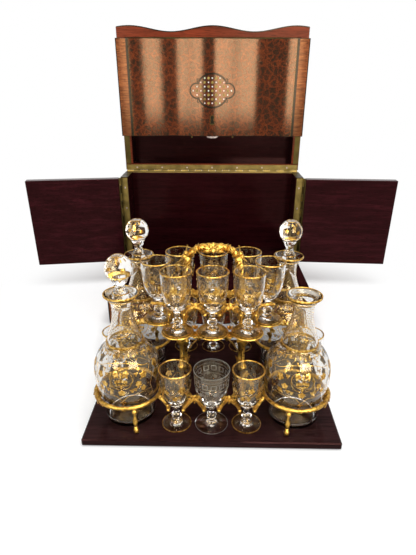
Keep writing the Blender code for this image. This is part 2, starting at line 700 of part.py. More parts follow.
def glass_profile(rim_radius, foot_radius):
    """Outline of a stemmed glass: up inside the bowl, over the rim, down the outside to the foot."""
    bowl_height = GLASS_HEIGHT - GLASS_STEM_TOP
    inside = [(share_r * rim_radius - GLASS_WALL, GLASS_STEM_TOP + share_z * bowl_height)
              for share_z, share_r in BOWL_INNER_SHARES]
    outside = [(share_r * rim_radius, GLASS_STEM_TOP + share_z * bowl_height)
               for share_z, share_r in reversed(BOWL_SHARES)]
    return ([(0.0, GLASS_STEM_TOP + GLASS_BOWL_FLOOR)] + inside + outside
            + [(GLASS_STEM_RADIUS, (GLASS_STEM_TOP + GLASS_KNOP_HIGH) / 2),
               (GLASS_KNOP_RADIUS, (GLASS_KNOP_LOW + GLASS_KNOP_HIGH) / 2),
               (GLASS_STEM_RADIUS, GLASS_FOOT_DOME), (foot_radius, GLASS_FOOT_EDGE), (foot_radius, 0.0),
               (0.0, 0.0)])


def glass_places():
    """Name, place on the rack and size of each glass, lower row first."""
    places = []
    for column, word in ((-1, "left"), (0, "middle"), (1, "right")):
        x = column * LOWER_GLASS_PITCH
        places.append(("glass_lower_front_" + word, (x, -LOWER_FRONT_Y, STAND_Z), column == 0))
        places.append(("glass_lower_rear_" + word, (x, LOWER_REAR_Y, STAND_Z), False))
        x = column * UPPER_GLASS_PITCH
        places.append(("glass_upper_front_" + word, (x, -UPPER_ROW_Y, UPPER_FLOOR), False))
        places.append(("glass_upper_rear_" + word, (x, UPPER_ROW_Y, UPPER_FLOOR), False))
    for side, word in ((-1, "left"), (1, "right")):
        places.append(("glass_lower_side_" + word, (side * LOWER_SIDE_X, 0.0, STAND_Z), False))
        places.append(("glass_upper_side_" + word, (side * UPPER_SIDE_X, 0.0, UPPER_FLOOR), False))
    return places


def make_glasses(rack):
    """Sixteen glasses, fifteen of one mesh and one larger."""
    meshes = {}
    for name, place, large in glass_places():
        if large not in meshes:
            rim = LARGE_GLASS_RIM_RADIUS if large else GLASS_RIM_RADIUS
            foot = LARGE_GLASS_FOOT_RADIUS if large else GLASS_FOOT_RADIUS
            first = solid(turned("glass", glass_profile(rim, foot), GLASS_SIDES, CRYSTAL), MODEL)
            meshes[large] = first.data
            shade(first)
            bpy.data.objects.remove(first, do_unlink=True)
        glass = add_object(name, meshes[large])
        glass.parent = rack
        glass.location = Vector(place) + Vector((0.0, RACK_BACK, 0.0))


def decanter_profile():
    """Outline of a decanter: up inside the hollow body and the neck bore, then down the outside."""
    def at(shares, less=0.0):
        return [(r * DECANTER_BODY_RADIUS - less, z * DECANTER_HEIGHT) for z, r in shares]
    inside = [(0.0, DECANTER_FLOOR)] + at(DECANTER_INNER_SHARES, DECANTER_WALL)
    bore = [(NECK_BORE_RADIUS, DECANTER_HEIGHT - NECK_BORE_DEPTH), (NECK_BORE_RADIUS, DECANTER_HEIGHT)]
    return inside + bore + at(reversed(DECANTER_SHARES)) + [(0.0, 0.0)]


def stopper_profile():
    """Outline of a stopper, from its ball's crown down to the foot of its ground plug."""
    ball_points = [(0.0, STOPPER_BALL_HEIGHT + STOPPER_BALL_RADIUS)]
    for degrees in STOPPER_BALL_ANGLES:
        angle = math.radians(degrees)
        ball_points.append((STOPPER_BALL_RADIUS * math.sin(angle),
                            STOPPER_BALL_HEIGHT + STOPPER_BALL_RADIUS * math.cos(angle)))
    plug = NECK_BORE_RADIUS - STOPPER_PLUG_CLEARANCE
    return ball_points + [(STOPPER_WAIST_RADIUS, STOPPER_WAIST_RISE), (plug, STOPPER_COLLAR_RISE),
                          (plug, -STOPPER_PLUG_LENGTH), (0.0, -STOPPER_PLUG_LENGTH)]


def make_decanters(rack):
    """Four decanters and three stoppers; the front right decanter stands open."""
    body = solid(turned("decanter", decanter_profile(), DECANTER_SIDES, CRYSTAL), MODEL)
    plug = solid(turned("stopper", stopper_profile(), STOPPER_SIDES, CRYSTAL), MODEL)
    for thing in (body, plug):
        shade(thing)
    for word, x, y in quarters(DECANTER_X, DECANTER_Y):
        decanter = add_object("decanter_" + word, body.data)
        decanter.parent = rack
        decanter.location = (x, y + RACK_BACK, STAND_Z)
        if word != "front_right":
            stopper = add_object("stopper_" + word, plug.data)
            stopper.parent = rack
            stopper.location = (x, y + RACK_BACK, STAND_Z + DECANTER_HEIGHT)
    for thing in (body, plug):
        bpy.data.objects.remove(thing, do_unlink=True)


def quarters(x, y):
    """The four corners of the rack, with their names."""
    return (("front_left", -x, -y), ("front_right", x, -y), ("rear_left", -x, y), ("rear_right", x, y))


def make_tray(rack):
    half_x, half_y = TRAY_WIDTH / 2, TRAY_DEPTH / 2
    board = box("tray_board", (-half_x, -half_y, 0.0), (half_x, half_y, TRAY_THICKNESS), ROSEWOOD)
    soften(board, TRAY_EDGE_ROUND)
    board.parent = rack


def seat_on_rack(piece, rack):
    """Set a piece of the rack in its place on the board."""
    piece.parent = rack
    piece.location.y += RACK_BACK


def baluster(name, foot, head, radius, shares, sides):
    """A turned leg or column that stands at foot and reaches up to head."""
    foot, head = Vector(foot), Vector(head)
    run = head - foot
    profile = [(0.0, run.length)] + [(share_r * radius, share_z * run.length)
                                     for share_z, share_r in reversed(shares)] + [(0.0, 0.0)]
    leg = turned(name, profile, sides, ORMOLU)
    leg.matrix_world = Matrix.Translation(foot) @ run.to_track_quat("Z", "Y").to_matrix().to_4x4()
    return solid(leg, MODEL)


def hook_line(start, stem, across, outward, z):
    """Points and swells of a hook arm: from start, round one side of the stem, to a bulb beyond it.

    across points from the stem to the arm's side, and outward the way the glass leaves.
    """
    stem, across, outward = Vector((*stem, 0.0)), Vector((*across, 0.0)), Vector((*outward, 0.0))
    rise = Vector((0.0, 0.0, z))
    cheek = stem + across * HOOK_CHEEK + rise
    tip = stem + across * HOOK_TIP_SIDE + outward * HOOK_REACH + rise
    along = (tip - cheek).normalized() * HOOK_TIP
    shoulder = (Vector(start) + cheek) / 2 - outward * HOOK_WIRE
    points = [shoulder, cheek, tip - along, tip, tip + along]
    return points, [1.0, 1.0, 1.0, HOOK_TIP / HOOK_WIRE, HOOK_END_SHARE]


def single_hook(name, start, stem, across, outward, z):
    """A hook arm by itself, from a ring."""
    points, swells = hook_line(start, stem, across, outward, z)
    return wire(name, [Vector(start)] + points, HOOK_WIRE, ORMOLU, swells=[1.0] + swells)


def double_hook(name, boss, first, second, z):
    """Two arms in one scroll through their boss; first and second are (stem, across, outward)."""
    points, swells = hook_line(boss, *first, z)
    points, swells = points[::-1] + [Vector(boss)], swells[::-1] + [1.0]
    more_points, more_swells = hook_line(boss, *second, z)
    return wire(name, points + more_points, HOOK_WIRE, ORMOLU, swells=swells + more_swells)


def cartouche(name, centre):
    """The ornamented boss that a pair of hook arms springs from."""
    bm = bmesh.new()
    bmesh.ops.create_icosphere(bm, subdivisions=1, radius=CARTOUCHE_HEIGHT / 2)
    shape = Vector((CARTOUCHE_WIDTH, CARTOUCHE_DEPTH, CARTOUCHE_HEIGHT)) / CARTOUCHE_HEIGHT
    place = Matrix.Translation(centre) @ Matrix.Diagonal((*shape, 1.0))
    bmesh.ops.transform(bm, matrix=place, verts=bm.verts)
    return add_object(name, mesh_from(bm, name), ORMOLU)


def make_rings(rack):
    """Decanter rings on two baluster legs each, with the hooks for the glasses beside them."""
    for word, x, y in quarters(DECANTER_X, DECANTER_Y):
        side, depth = math.copysign(1, x), math.copysign(1, y)
        loop = [(x + RING_RADIUS * math.cos(math.tau * i / RING_STEPS),
                 y + RING_RADIUS * math.sin(math.tau * i / RING_STEPS), RING_Z) for i in range(RING_STEPS)]
        pieces = [wire("ring_" + word, loop, RING_WIRE, ORMOLU, sides=6, closed=True)]
        for degrees in LEG_ANGLES_DEG:
            angle = math.radians(degrees)
            way = Vector((-side * math.cos(angle), -depth * math.sin(angle), 0.0))
            head = Vector((x, y, RING_Z)) + way * RING_RADIUS
            foot = Vector((x, y, STAND_Z)) + way * (RING_RADIUS + LEG_SPREAD)
            pieces.append(baluster("leg", foot, head, LEG_RADIUS, BALUSTER_SHARES, LEG_SIDES))
        row_y = -LOWER_FRONT_Y if depth < 0 else LOWER_REAR_Y
        stem = (side * LOWER_GLASS_PITCH, row_y)
        pieces.append(single_hook("row_hook", ring_point(x, y, stem), stem, (side, 0.0), (0.0, depth),
                                  LOWER_HOOK_Z))
        stem = (side * LOWER_SIDE_X, 0.0)
        pieces.append(single_hook("side_hook", ring_point(x, y, stem), stem, (0.0, depth), (side, 0.0),
                                  LOWER_HOOK_Z))
        seat_on_rack(fused("ring_" + word, pieces), rack)


def ring_point(x, y, towards):
    """Where the ring round (x, y) comes nearest to a stem."""
    way = (Vector(towards) - Vector((x, y))).normalized() * RING_RADIUS
    return (x + way.x, y + way.y, RING_Z)


def make_columns(rack):
    """Columns under the upper tier, each with the cartouche and hooks of the glasses before it."""
    for word, x, y in quarters(COLUMN_X, COLUMN_Y):
        side, depth = math.copysign(1, x), math.copysign(1, y)
        pieces = [baluster("column_" + word, (x, y, STAND_Z), (x, y, BAR_LOW - SEAT_GAP), COLUMN_RADIUS,
                           COLUMN_SHARES, COLUMN_SIDES)]
        row_y = -LOWER_FRONT_Y if depth < 0 else LOWER_REAR_Y
        boss = Vector((side * LOWER_GLASS_PITCH / 2, row_y - depth * CARTOUCHE_BACK, LOWER_HOOK_Z))
        pieces.append(cartouche("boss", boss))
        brace = Vector((x, y, LOWER_HOOK_Z))
        pieces.append(wire("brace", [brace, boss], HOOK_WIRE, ORMOLU))
        outer = ((side * LOWER_GLASS_PITCH, row_y), (-side, 0.0), (0.0, depth))
        middle = ((0.0, row_y), (side, 0.0), (0.0, depth))
        pieces.append(double_hook("hook", boss, outer, middle, LOWER_HOOK_Z))
        seat_on_rack(fused("column_" + word, pieces), rack)


def upper_stems():
    """Stem places of the upper glasses in order round the tier, with the way each glass leaves."""
    front = [((i * UPPER_GLASS_PITCH, -UPPER_ROW_Y), (0.0, -1.0)) for i in (-1, 0, 1)]
    rear = [((i * UPPER_GLASS_PITCH, UPPER_ROW_Y), (0.0, 1.0)) for i in (1, 0, -1)]
    return front + [((UPPER_SIDE_X, 0.0), (1.0, 0.0))] + rear + [((-UPPER_SIDE_X, 0.0), (-1.0, 0.0))]


def grown(outline, by):
    """A convex outline, counter-clockwise, moved outwards on every side."""
    result = []
    for i, corner in enumerate(outline):
        before, corner = Vector(outline[i - 1]), Vector(corner)
        after = Vector(outline[(i + 1) % len(outline)])
        way_in, way_out = (corner - before).normalized(), (after - corner).normalized()
        out = Vector((way_in.y + way_out.y, -way_in.x - way_out.x)).normalized()
        result.append(corner + out * by / (out.x * way_in.y - out.y * way_in.x))
    return result


def make_tier(rack):
    """Eight round dishes on a frame of flat bars, the floor of the upper glasses."""
    stems = [stem for stem, way in upper_stems()]
    side_cell = [(INNER_POST_X, -UPPER_ROW_Y)] + stems[2:5] + [(INNER_POST_X, UPPER_ROW_Y)]
    cells = [[(-INNER_POST_X, -UPPER_ROW_Y), (INNER_POST_X, -UPPER_ROW_Y),
              (INNER_POST_X, UPPER_ROW_Y), (-INNER_POST_X, UPPER_ROW_Y)],
             side_cell, [(-x, -y) for x, y in side_cell]]
    half = TIER_BAR_WIDTH / 2
    corners = [stems[0], stems[2], stems[3], stems[4], stems[6], stems[7]]
    frame = prism("tier_frame", grown(corners, half), BAR_TOP - BAR_LOW, ORMOLU,
                  holes=[grown(cell, -half) for cell in cells])
    frame.location.z = (BAR_TOP + BAR_LOW) / 2
    pieces = [frame]
    for x, y in stems:
        profile = [(0.0, TIER_TOP), (DISH_RADIUS, TIER_TOP), (DISH_RADIUS - DISH_RIM, DISH_LOW),
                   (0.0, DISH_LOW)]
        dish = turned("dish", profile, DISH_SIDES, ORMOLU)
        dish.location = (x, y, 0.0)
        pieces.append(solid(dish, MODEL))
    seat_on_rack(fused("upper_tier", pieces), rack)


def make_gallery(rack):
    """The rail above the dishes, on its posts, with two hook arms round each stem."""
    stems = upper_stems()
    bosses = []
    for i, (stem, way) in enumerate(stems):
        nearby, next_way = stems[(i + 1) % len(stems)]
        middle = (Vector(stem) + Vector(nearby)) / 2
        inward = -(Vector(way) + Vector(next_way)).normalized()
        boss = middle + inward * (CARTOUCHE_BACK if way == next_way else CORNER_INSET)
        bosses.append(Vector((boss.x, boss.y, GALLERY_Z)))
    pieces = [wire("rail", bosses, GALLERY_WIRE, ORMOLU, closed=True)]
    for i, boss in enumerate(bosses):
        stem, way = stems[i]
        nearby, next_way = stems[(i + 1) % len(stems)]
        pieces.append(cartouche("boss", boss))
        pieces.append(double_hook("hook", boss, (stem, (-way[1], way[0]), way),
                                  (nearby, (next_way[1], -next_way[0]), next_way), GALLERY_Z))
        if way != next_way:
            pieces.append(rod("corner_post", (boss.x, boss.y, POST_FOOT), boss, CORNER_POST_RADIUS,
                              LEG_SIDES, ORMOLU))
    for side in (-1, 1):
        x = side * INNER_POST_X
        rail_y = UPPER_ROW_Y - CARTOUCHE_BACK
        ends = [(x, -rail_y, GALLERY_Z), (x, rail_y, GALLERY_Z)]
        pieces.append(wire("cross_rail", ends, GALLERY_WIRE, ORMOLU))
        for depth in (-1, 1):
            foot = (x, depth * INNER_POST_Y, POST_FOOT)
            pieces.append(rod("inner_post", foot, (x, depth * INNER_POST_Y, GALLERY_Z), INNER_POST_RADIUS,
                              LEG_SIDES, ORMOLU))
    seat_on_rack(fused("upper_gallery", pieces), rack)


def make_handle(rack):
    """The arched carrying handle, with its collars and its crown, on the gallery's cross rails."""
    foot_z = GALLERY_Z + GALLERY_WIRE + SEAT_GAP
    rise = HANDLE_TOP - HANDLE_SPRING
    points = [(INNER_POST_X, 0.0, foot_z)]
    for i in range(HANDLE_ARC_STEPS + 1):
        angle = math.pi * i / HANDLE_ARC_STEPS
        points.append((HANDLE_HALF_SPAN * math.cos(angle), 0.0, HANDLE_SPRING + rise * math.sin(angle)))
    points.append((-INNER_POST_X, 0.0, foot_z))
    pieces = [wire("handle", points, HANDLE_WIRE, ORMOLU, sides=6)]
    for degrees in HANDLE_COLLAR_ANGLES_DEG:
        angle = math.radians(degrees)
        centre = Vector((HANDLE_HALF_SPAN * math.cos(angle), 0.0, HANDLE_SPRING + rise * math.sin(angle)))
        along = Vector((-HANDLE_HALF_SPAN * math.sin(angle), 0.0, rise * math.cos(angle))).normalized()
        half = along * HANDLE_COLLAR_LENGTH / 2
        pieces.append(rod("collar", centre - half, centre + half, HANDLE_COLLAR_RADIUS, COLUMN_SIDES,
                          ORMOLU))
    top = Vector((0.0, 0.0, HANDLE_TOP + CROWN_RISE))
    half = Vector((CROWN_WIDTH / 2, 0.0, 0.0))
    pieces.append(rod("crown", top - half, top + half, CROWN_RADIUS, COLUMN_SIDES, ORMOLU))
    seat_on_rack(fused("handle", pieces), rack)


def main():
    lid_axis, flap_axis, left_axis, right_axis, rack = make_axes()
    make_base()
    make_strike()
    make_back_and_returns()
    make_wings(left_axis, right_axis)
    make_lid(lid_axis)
    make_flap(flap_axis)
    make_hinges(lid_axis, flap_axis, left_axis, right_axis)
    make_tray(rack)
    make_rings(rack)
    make_columns(rack)
    make_tier(rack)
    make_gallery(rack)
    make_handle(rack)
    make_decanters(rack)
    make_glasses(rack)


main()
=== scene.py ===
import json
import math
import random
from math import cos, pi, radians, sin, tau

import bmesh
import bpy
from bpy.props import FloatProperty, FloatVectorProperty, IntProperty, PointerProperty
from mathutils import Matrix, Vector

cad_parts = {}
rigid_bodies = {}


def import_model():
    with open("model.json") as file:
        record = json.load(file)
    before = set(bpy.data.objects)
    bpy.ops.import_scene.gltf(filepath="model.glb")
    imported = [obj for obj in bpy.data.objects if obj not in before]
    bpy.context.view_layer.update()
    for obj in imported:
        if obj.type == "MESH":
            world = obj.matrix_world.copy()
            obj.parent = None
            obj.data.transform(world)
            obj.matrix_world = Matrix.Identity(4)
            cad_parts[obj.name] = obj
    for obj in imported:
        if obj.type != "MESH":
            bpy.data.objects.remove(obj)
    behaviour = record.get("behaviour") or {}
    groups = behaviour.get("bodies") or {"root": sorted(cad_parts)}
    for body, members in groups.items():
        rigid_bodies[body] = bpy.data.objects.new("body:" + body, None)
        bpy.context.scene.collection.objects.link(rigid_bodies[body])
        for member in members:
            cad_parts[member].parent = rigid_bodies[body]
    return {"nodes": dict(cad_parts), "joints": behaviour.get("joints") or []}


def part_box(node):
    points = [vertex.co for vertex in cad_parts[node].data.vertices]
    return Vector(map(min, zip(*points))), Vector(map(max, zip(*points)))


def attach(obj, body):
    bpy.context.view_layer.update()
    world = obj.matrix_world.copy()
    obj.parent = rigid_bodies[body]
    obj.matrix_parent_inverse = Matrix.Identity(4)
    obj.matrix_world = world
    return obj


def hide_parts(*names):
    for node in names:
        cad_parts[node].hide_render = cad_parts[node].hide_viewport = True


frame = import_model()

for leftover in [o for o in bpy.data.objects if o.name in ("Camera", "Cube", "Light")]:
    bpy.data.objects.remove(leftover, do_unlink=True)
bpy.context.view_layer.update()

bl_info = {
    "name": "Liqueur Case",
    "version": (1, 0, 0),
    "blender": (4, 5, 0),
    "location": "View3D > Sidebar > Liqueur Case",
    "description": "Serpentine-fronted liqueur case with its rack of decanters and glasses",
    "category": "Add Mesh",
}

HINGES = {joint["child"]: joint for joint in frame["joints"] if joint["type"] == "hinge"}
SIDES = ((-1, "left"), (1, "right"))
UP = Vector((0.0, 0.0, 1.0))

# Case, read from the frame as it stands shut
CASE_LOW, CASE_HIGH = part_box("base_frame")
HALF_WIDTH, REAR_Y, BASE_TOP = CASE_HIGH
FRONT_Y = CASE_LOW.y
LID_AXIS = Vector(HINGES["lid"]["pos_m"])
CASE_TOP = LID_AXIS.z
LID_TOP = CASE_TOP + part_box("lid_top")[1].y - LID_AXIS.y
FOLD_SHIFT = HINGES["flap"]["pos_m"][2] - CASE_TOP
FLAP_INNER_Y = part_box("flap_panel")[1].y - FOLD_SHIFT
FLAP_LOW, FLAP_HIGH = (corner.z - FOLD_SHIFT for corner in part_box("flap_panel"))
SIDE_WALL = HALF_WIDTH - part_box("base_floor")[1].x
RETURN_Y = HINGES["wing_left"]["pos_m"][1]
AXIS_PROUD = -HINGES["wing_left"]["pos_m"][0] - HALF_WIDTH
LEAF_GAP, SHEET_GAP = 0.0002, 0.00015

# Rack, read from the frame
TRAY_LOW, TRAY_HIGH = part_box("tray_board")
REAR_WAY = next(j["axis"] for j in frame["joints"] if j["name"] == "glass_lower_rear_middle_slide")
RACK_YAW = -math.atan2(REAR_WAY[0], REAR_WAY[1])
RACK = Matrix.Translation(((TRAY_LOW.x + TRAY_HIGH.x) / 2, (TRAY_LOW.y + TRAY_HIGH.y) / 2, 0.0)) \
    @ Matrix.Rotation(RACK_YAW, 4, "Z")
STAND_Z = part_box("glass_lower_front_left")[0].z
TIER_LOW, TIER_TOP = (corner.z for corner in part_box("upper_tier"))
GLASS_NODES = [name for name in sorted(frame["nodes"]) if name.startswith("glass_")]
LARGE_NODE = "glass_lower_front_middle"


def linear(hex_colour):
    """The linear colour of an sRGB hex value."""
    parts = [int(hex_colour[i:i + 2], 16) / 255 for i in (0, 2, 4)]
    return [c / 12.92 if c <= 0.04045 else ((c + 0.055) / 1.055) ** 2.4 for c in parts]


def length(name, description, default):
    return FloatProperty(name=name, description=description, default=default, unit="LENGTH", precision=5)


def colour(name, description, hex_colour):
    return FloatVectorProperty(name=name, description=description, default=linear(hex_colour), subtype="COLOR")


def angle(name, description, degrees):
    return FloatProperty(name=name, description=description, default=radians(degrees), subtype="ANGLE")


class CaseSizes(bpy.types.PropertyGroup):
    """Sizes of the case's veneers, inlay and fittings."""
    wave_depth: length("Wave depth", "How far the front swings in and out", 0.0095)
    wave_period: length("Wave period", "From one crest of the front to the next", 0.152)
    wave_step: length("Wave step", "Length of one facet of the waved veneer", 0.002)
    veneer: length("Veneer", "Thickness of a veneer sheet", 0.0003)
    banding: length("Banding", "Width of the cross-banding", 0.017)
    stringing: length("Stringing", "Width of the ebonised line beside the banding", 0.0042)
    brass_line: length("Brass line", "Width of the brass line beside the stringing", 0.0006)
    edge_line: length("Edge line", "Width of the black line along an edge", 0.0016)
    dot_pitch: length("Dot pitch", "Spacing of the inlaid dots", 0.0071)
    pearl_radius: length("Pearl radius", "Radius of a mother-of-pearl dot", 0.0014)
    brass_radius: length("Brass radius", "Radius of a brass dot", 0.0023)
    dot_rise: length("Dot rise", "Height of the dots' middle above the flap's lower edge", 0.0805)
    leaf_thickness: length("Leaf thickness", "Thickness of a hinge leaf", 0.001)
    barrel_radius: length("Barrel radius", "Radius of a hinge barrel", 0.0022)
    knuckle_pitch: length("Knuckle pitch", "Length of one hinge knuckle", 0.0143)
    screw_radius: length("Screw radius", "Radius of a countersunk screw head", 0.0017)
    lid_screws: IntProperty(name="Lid screws", description="Screws along the lid's hinge", default=7, min=2)
    rim_strip: length("Rim strip", "Width of the brass strip along the lid's side rims", 0.0106)


class RackSizes(bpy.types.PropertyGroup):
    """Sizes of the gilt rack."""
    ring_radius: length("Ring radius", "Radius of a decanter ring at its wire's middle", 0.0386)
    ring_wire: length("Ring wire", "Radius of a decanter ring's wire", 0.0024)
    ring_rise: length("Ring rise", "Height of the rings above the board", 0.0346)
    hook_rise: length("Hook rise", "Height of the stem hooks above their floor", 0.0245)
    hook_wire: length("Hook wire", "Radius of a hook arm", 0.0019)
    hook_cheek: length("Hook cheek", "Distance from a stem to its hook's side", 0.0098)
    hook_reach: length("Hook reach", "How far a hook passes its stem", 0.006)
    hook_tip_side: length("Hook tip side", "Distance from a stem to its hook's tip", 0.0088)
    cartouche_back: length("Cartouche back", "Distance of a cartouche behind its row of stems", 0.0143)
    column_radius: length("Column radius", "Greatest radius of a column", 0.006)
    leg_radius: length("Leg radius", "Greatest radius of a ring's leg", 0.0033)
    dish_radius: length("Dish radius", "Radius of a dish of the upper tier", 0.0195)
    gallery_wire: length("Gallery wire", "Radius of the gallery's rail", 0.0019)
    handle_wire: length("Handle wire", "Radius of the handle's core", 0.0032)


class GlassSizes(bpy.types.PropertyGroup):
    """Sizes of the glasses, the decanters and their gilding."""
    wall: length("Wall", "Wall of a glass", 0.0013)
    decanter_wall: length("Decanter wall", "Wall of a decanter", 0.0016)
    stem_radius: length("Stem radius", "Radius of a glass's stem at its waists", 0.0032)
    knop_radius: length("Knop radius", "Radius of a glass's faceted knop", 0.0058)
    gold_thickness: length("Gold thickness", "Thickness of the fired gold, drawn thick enough to show", 0.00012)
    gold_line: length("Gold line", "Width of a painted gold line", 0.0007)
    vine_leaf: length("Vine leaf", "Radius of a painted vine leaf on a glass", 0.0046)
    rim_gold: length("Rim gold", "Depth of the gold on a rim", 0.0009)


class FinishColours(bpy.types.PropertyGroup):
    """Main colours of the woods and metals."""
    burr_dark: colour("Burr dark", "Eyes of the burr", "14060A")
    burr_ground: colour("Burr ground", "Ground of the burr", "4E180E")
    burr_bright: colour("Burr bright", "Bright figure of the burr", "883A18")
    mahogany: colour("Mahogany", "Carcass wood", "86371F")
    rosewood: colour("Rosewood", "Dark interior wood", "280A0D")
    gilt: colour("Gilt", "Gilt bronze", "BC9242")
    brass: colour("Brass", "Aged brass", "64542C")


class StageSizes(bpy.types.PropertyGroup):
    """The camera and the floor."""
    lens: FloatProperty(name="Lens", description="Focal length in millimetres", default=38.03)
    pitch: angle("Pitch", "Camera's angle below the horizon", 25.27)
    yaw: angle("Yaw", "Camera's turn to the left", 0.424)
    roll: angle("Roll", "Camera's roll", 0.16)
    place: FloatVectorProperty(name="Place", description="Camera's place", default=(0.0033, -0.7894, 0.379),
        subtype="TRANSLATION")
    floor: length("Floor", "Half the width of the floor", 4.0)


GROUPS = {"liqueur_case": CaseSizes, "liqueur_rack": RackSizes, "liqueur_glass": GlassSizes,
    "liqueur_finish": FinishColours, "liqueur_stage": StageSizes}


def sizes(group):
    """A property group of the scene, by the last word of its name."""
    return getattr(bpy.context.scene, "liqueur_" + group)


def feed(tree, node, inputs):
    """Fills a node's inputs: sockets, alone or in a list, are linked, and anything else is a value."""
    for key, value in inputs.items():
        if isinstance(value, (bpy.types.NodeSocket, list)):
            for source in value if isinstance(value, list) else [value]:
                tree.links.new(source, node.inputs[key])
        else:
            node.inputs[key].default_value = value


def add_node(tree, kind, inputs=None, stops=(), out=0, **settings):
    """Adds a node with its inputs and settings and gives one of its outputs; stops colour a ramp."""
    node = tree.nodes.new(kind)
    for key, value in settings.items():
        setattr(node, key, value)
    feed(tree, node, inputs or {})
    while stops and len(node.color_ramp.elements) < len(stops):
        node.color_ramp.elements.new(1.0)
    for i, (place, tone) in enumerate(stops):
        mark = node.color_ramp.elements[i]
        mark.position = place
        mark.color = (*(linear(tone) if isinstance(tone, str) else tone), 1.0)
    return node.outputs[out]


# Materials


def start_material(name):
    """A new material with its tree, its shader and its object coordinates."""
    material = bpy.data.materials.new(name)
    material.use_nodes = True
    tree = material.node_tree
    return material, tree, tree.nodes["Principled BSDF"], add_node(tree, "ShaderNodeTexCoord", out="Object")


# One colour darkened by another
DARKEN = {"out": 2, "data_type": "RGBA", "blend_type": "MULTIPLY"}


def polish(tree, shader, tone, roughness, level, tint, height=None, depth=0.0):
    """Colour and gloss of a polished wood: old shellac gives back warm light, and less of it than glass.

    A height gives it relief, as deep as depth.
    """
    feed(tree, shader, {"Base Color": tone, "Roughness": roughness, "Specular IOR Level": level,
        "Specular Tint": (*linear(tint), 1.0)})
    if height is not None:
        bump = add_node(tree, "ShaderNodeBump", {"Strength": 1.0, "Distance": depth, "Height": height})
        feed(tree, shader, {"Normal": bump})


def grained(tree, coords, along, tones, figure_mm, pore_mm):
    """Straight-grained wood: broad figure, fine streaks and short dark pores along one axis.

    figure_mm is the width of a band of figure, and pore_mm of a pore.
    """
    stretch = tuple(0.06 if axis == along else 1.0 for axis in "XYZ")
    run = add_node(tree, "ShaderNodeMapping", {"Vector": coords, "Scale": stretch})
    figure = add_node(tree, "ShaderNodeTexNoise", {"Vector": run, "Scale": 1000 / figure_mm, "Detail": 5,
        "Distortion": 0.6})
    streak = add_node(tree, "ShaderNodeTexNoise", {"Vector": run, "Scale": 2200 / figure_mm, "Detail": 4})
    both = add_node(tree, "ShaderNodeMix", {0: 0.4, 2: figure, 3: streak})
    count = len(tones) - 1
    tone = add_node(tree, "ShaderNodeValToRGB", {"Fac": both},
        [(0.32 + 0.36 * i / count, tone) for i, tone in enumerate(tones)])
    pores = add_node(tree, "ShaderNodeTexNoise", {"Vector": run, "Scale": 1000 / pore_mm, "Detail": 2})
    open_pores = add_node(tree, "ShaderNodeValToRGB", {"Fac": pores}, [(0.34, "5A5A5A"), (0.46, "FFFFFF")])
    return add_node(tree, "ShaderNodeMix", {0: 0.6, 6: tone, 7: open_pores}, **DARKEN), open_pores


def straight_wood(name, along, key, shares, grain_mm, gloss, pore_depth, ground=None):
    """A straight-grained wood in shares of its ground colour, which is that property unless it is given."""
    material, tree, shader, coords = start_material(name)
    ground = linear(ground) if ground else getattr(sizes("finish"), key)
    tones = [[min(1.0, c * share) for c in ground] for share in shares]
    tone, pores = grained(tree, coords, along, tones, *grain_mm)
    polish(tree, shader, tone, *gloss, pores, pore_depth)
    return material


def rosewood(name, along, light, level=0.1, ground=None):
    """Rosewood, veneered and French polished: near black purple-brown, straight dark streaks, soft gloss."""
    return straight_wood(name, along, "rosewood", (0.6, 1.0, light), (9.0, 1.1), (0.12, level, "FFA89C"),
        0.00003,
        ground)


def mahogany(name, light):
    """Solid mahogany, oiled and waxed: red-brown, long grain with open pores, a satin sheen."""
    return straight_wood(name, "X", "mahogany", (0.55 * light, light, 1.5 * light), (7.0, 1.0),
        (0.3, 0.12, "FFC0A0"), 0.00004)


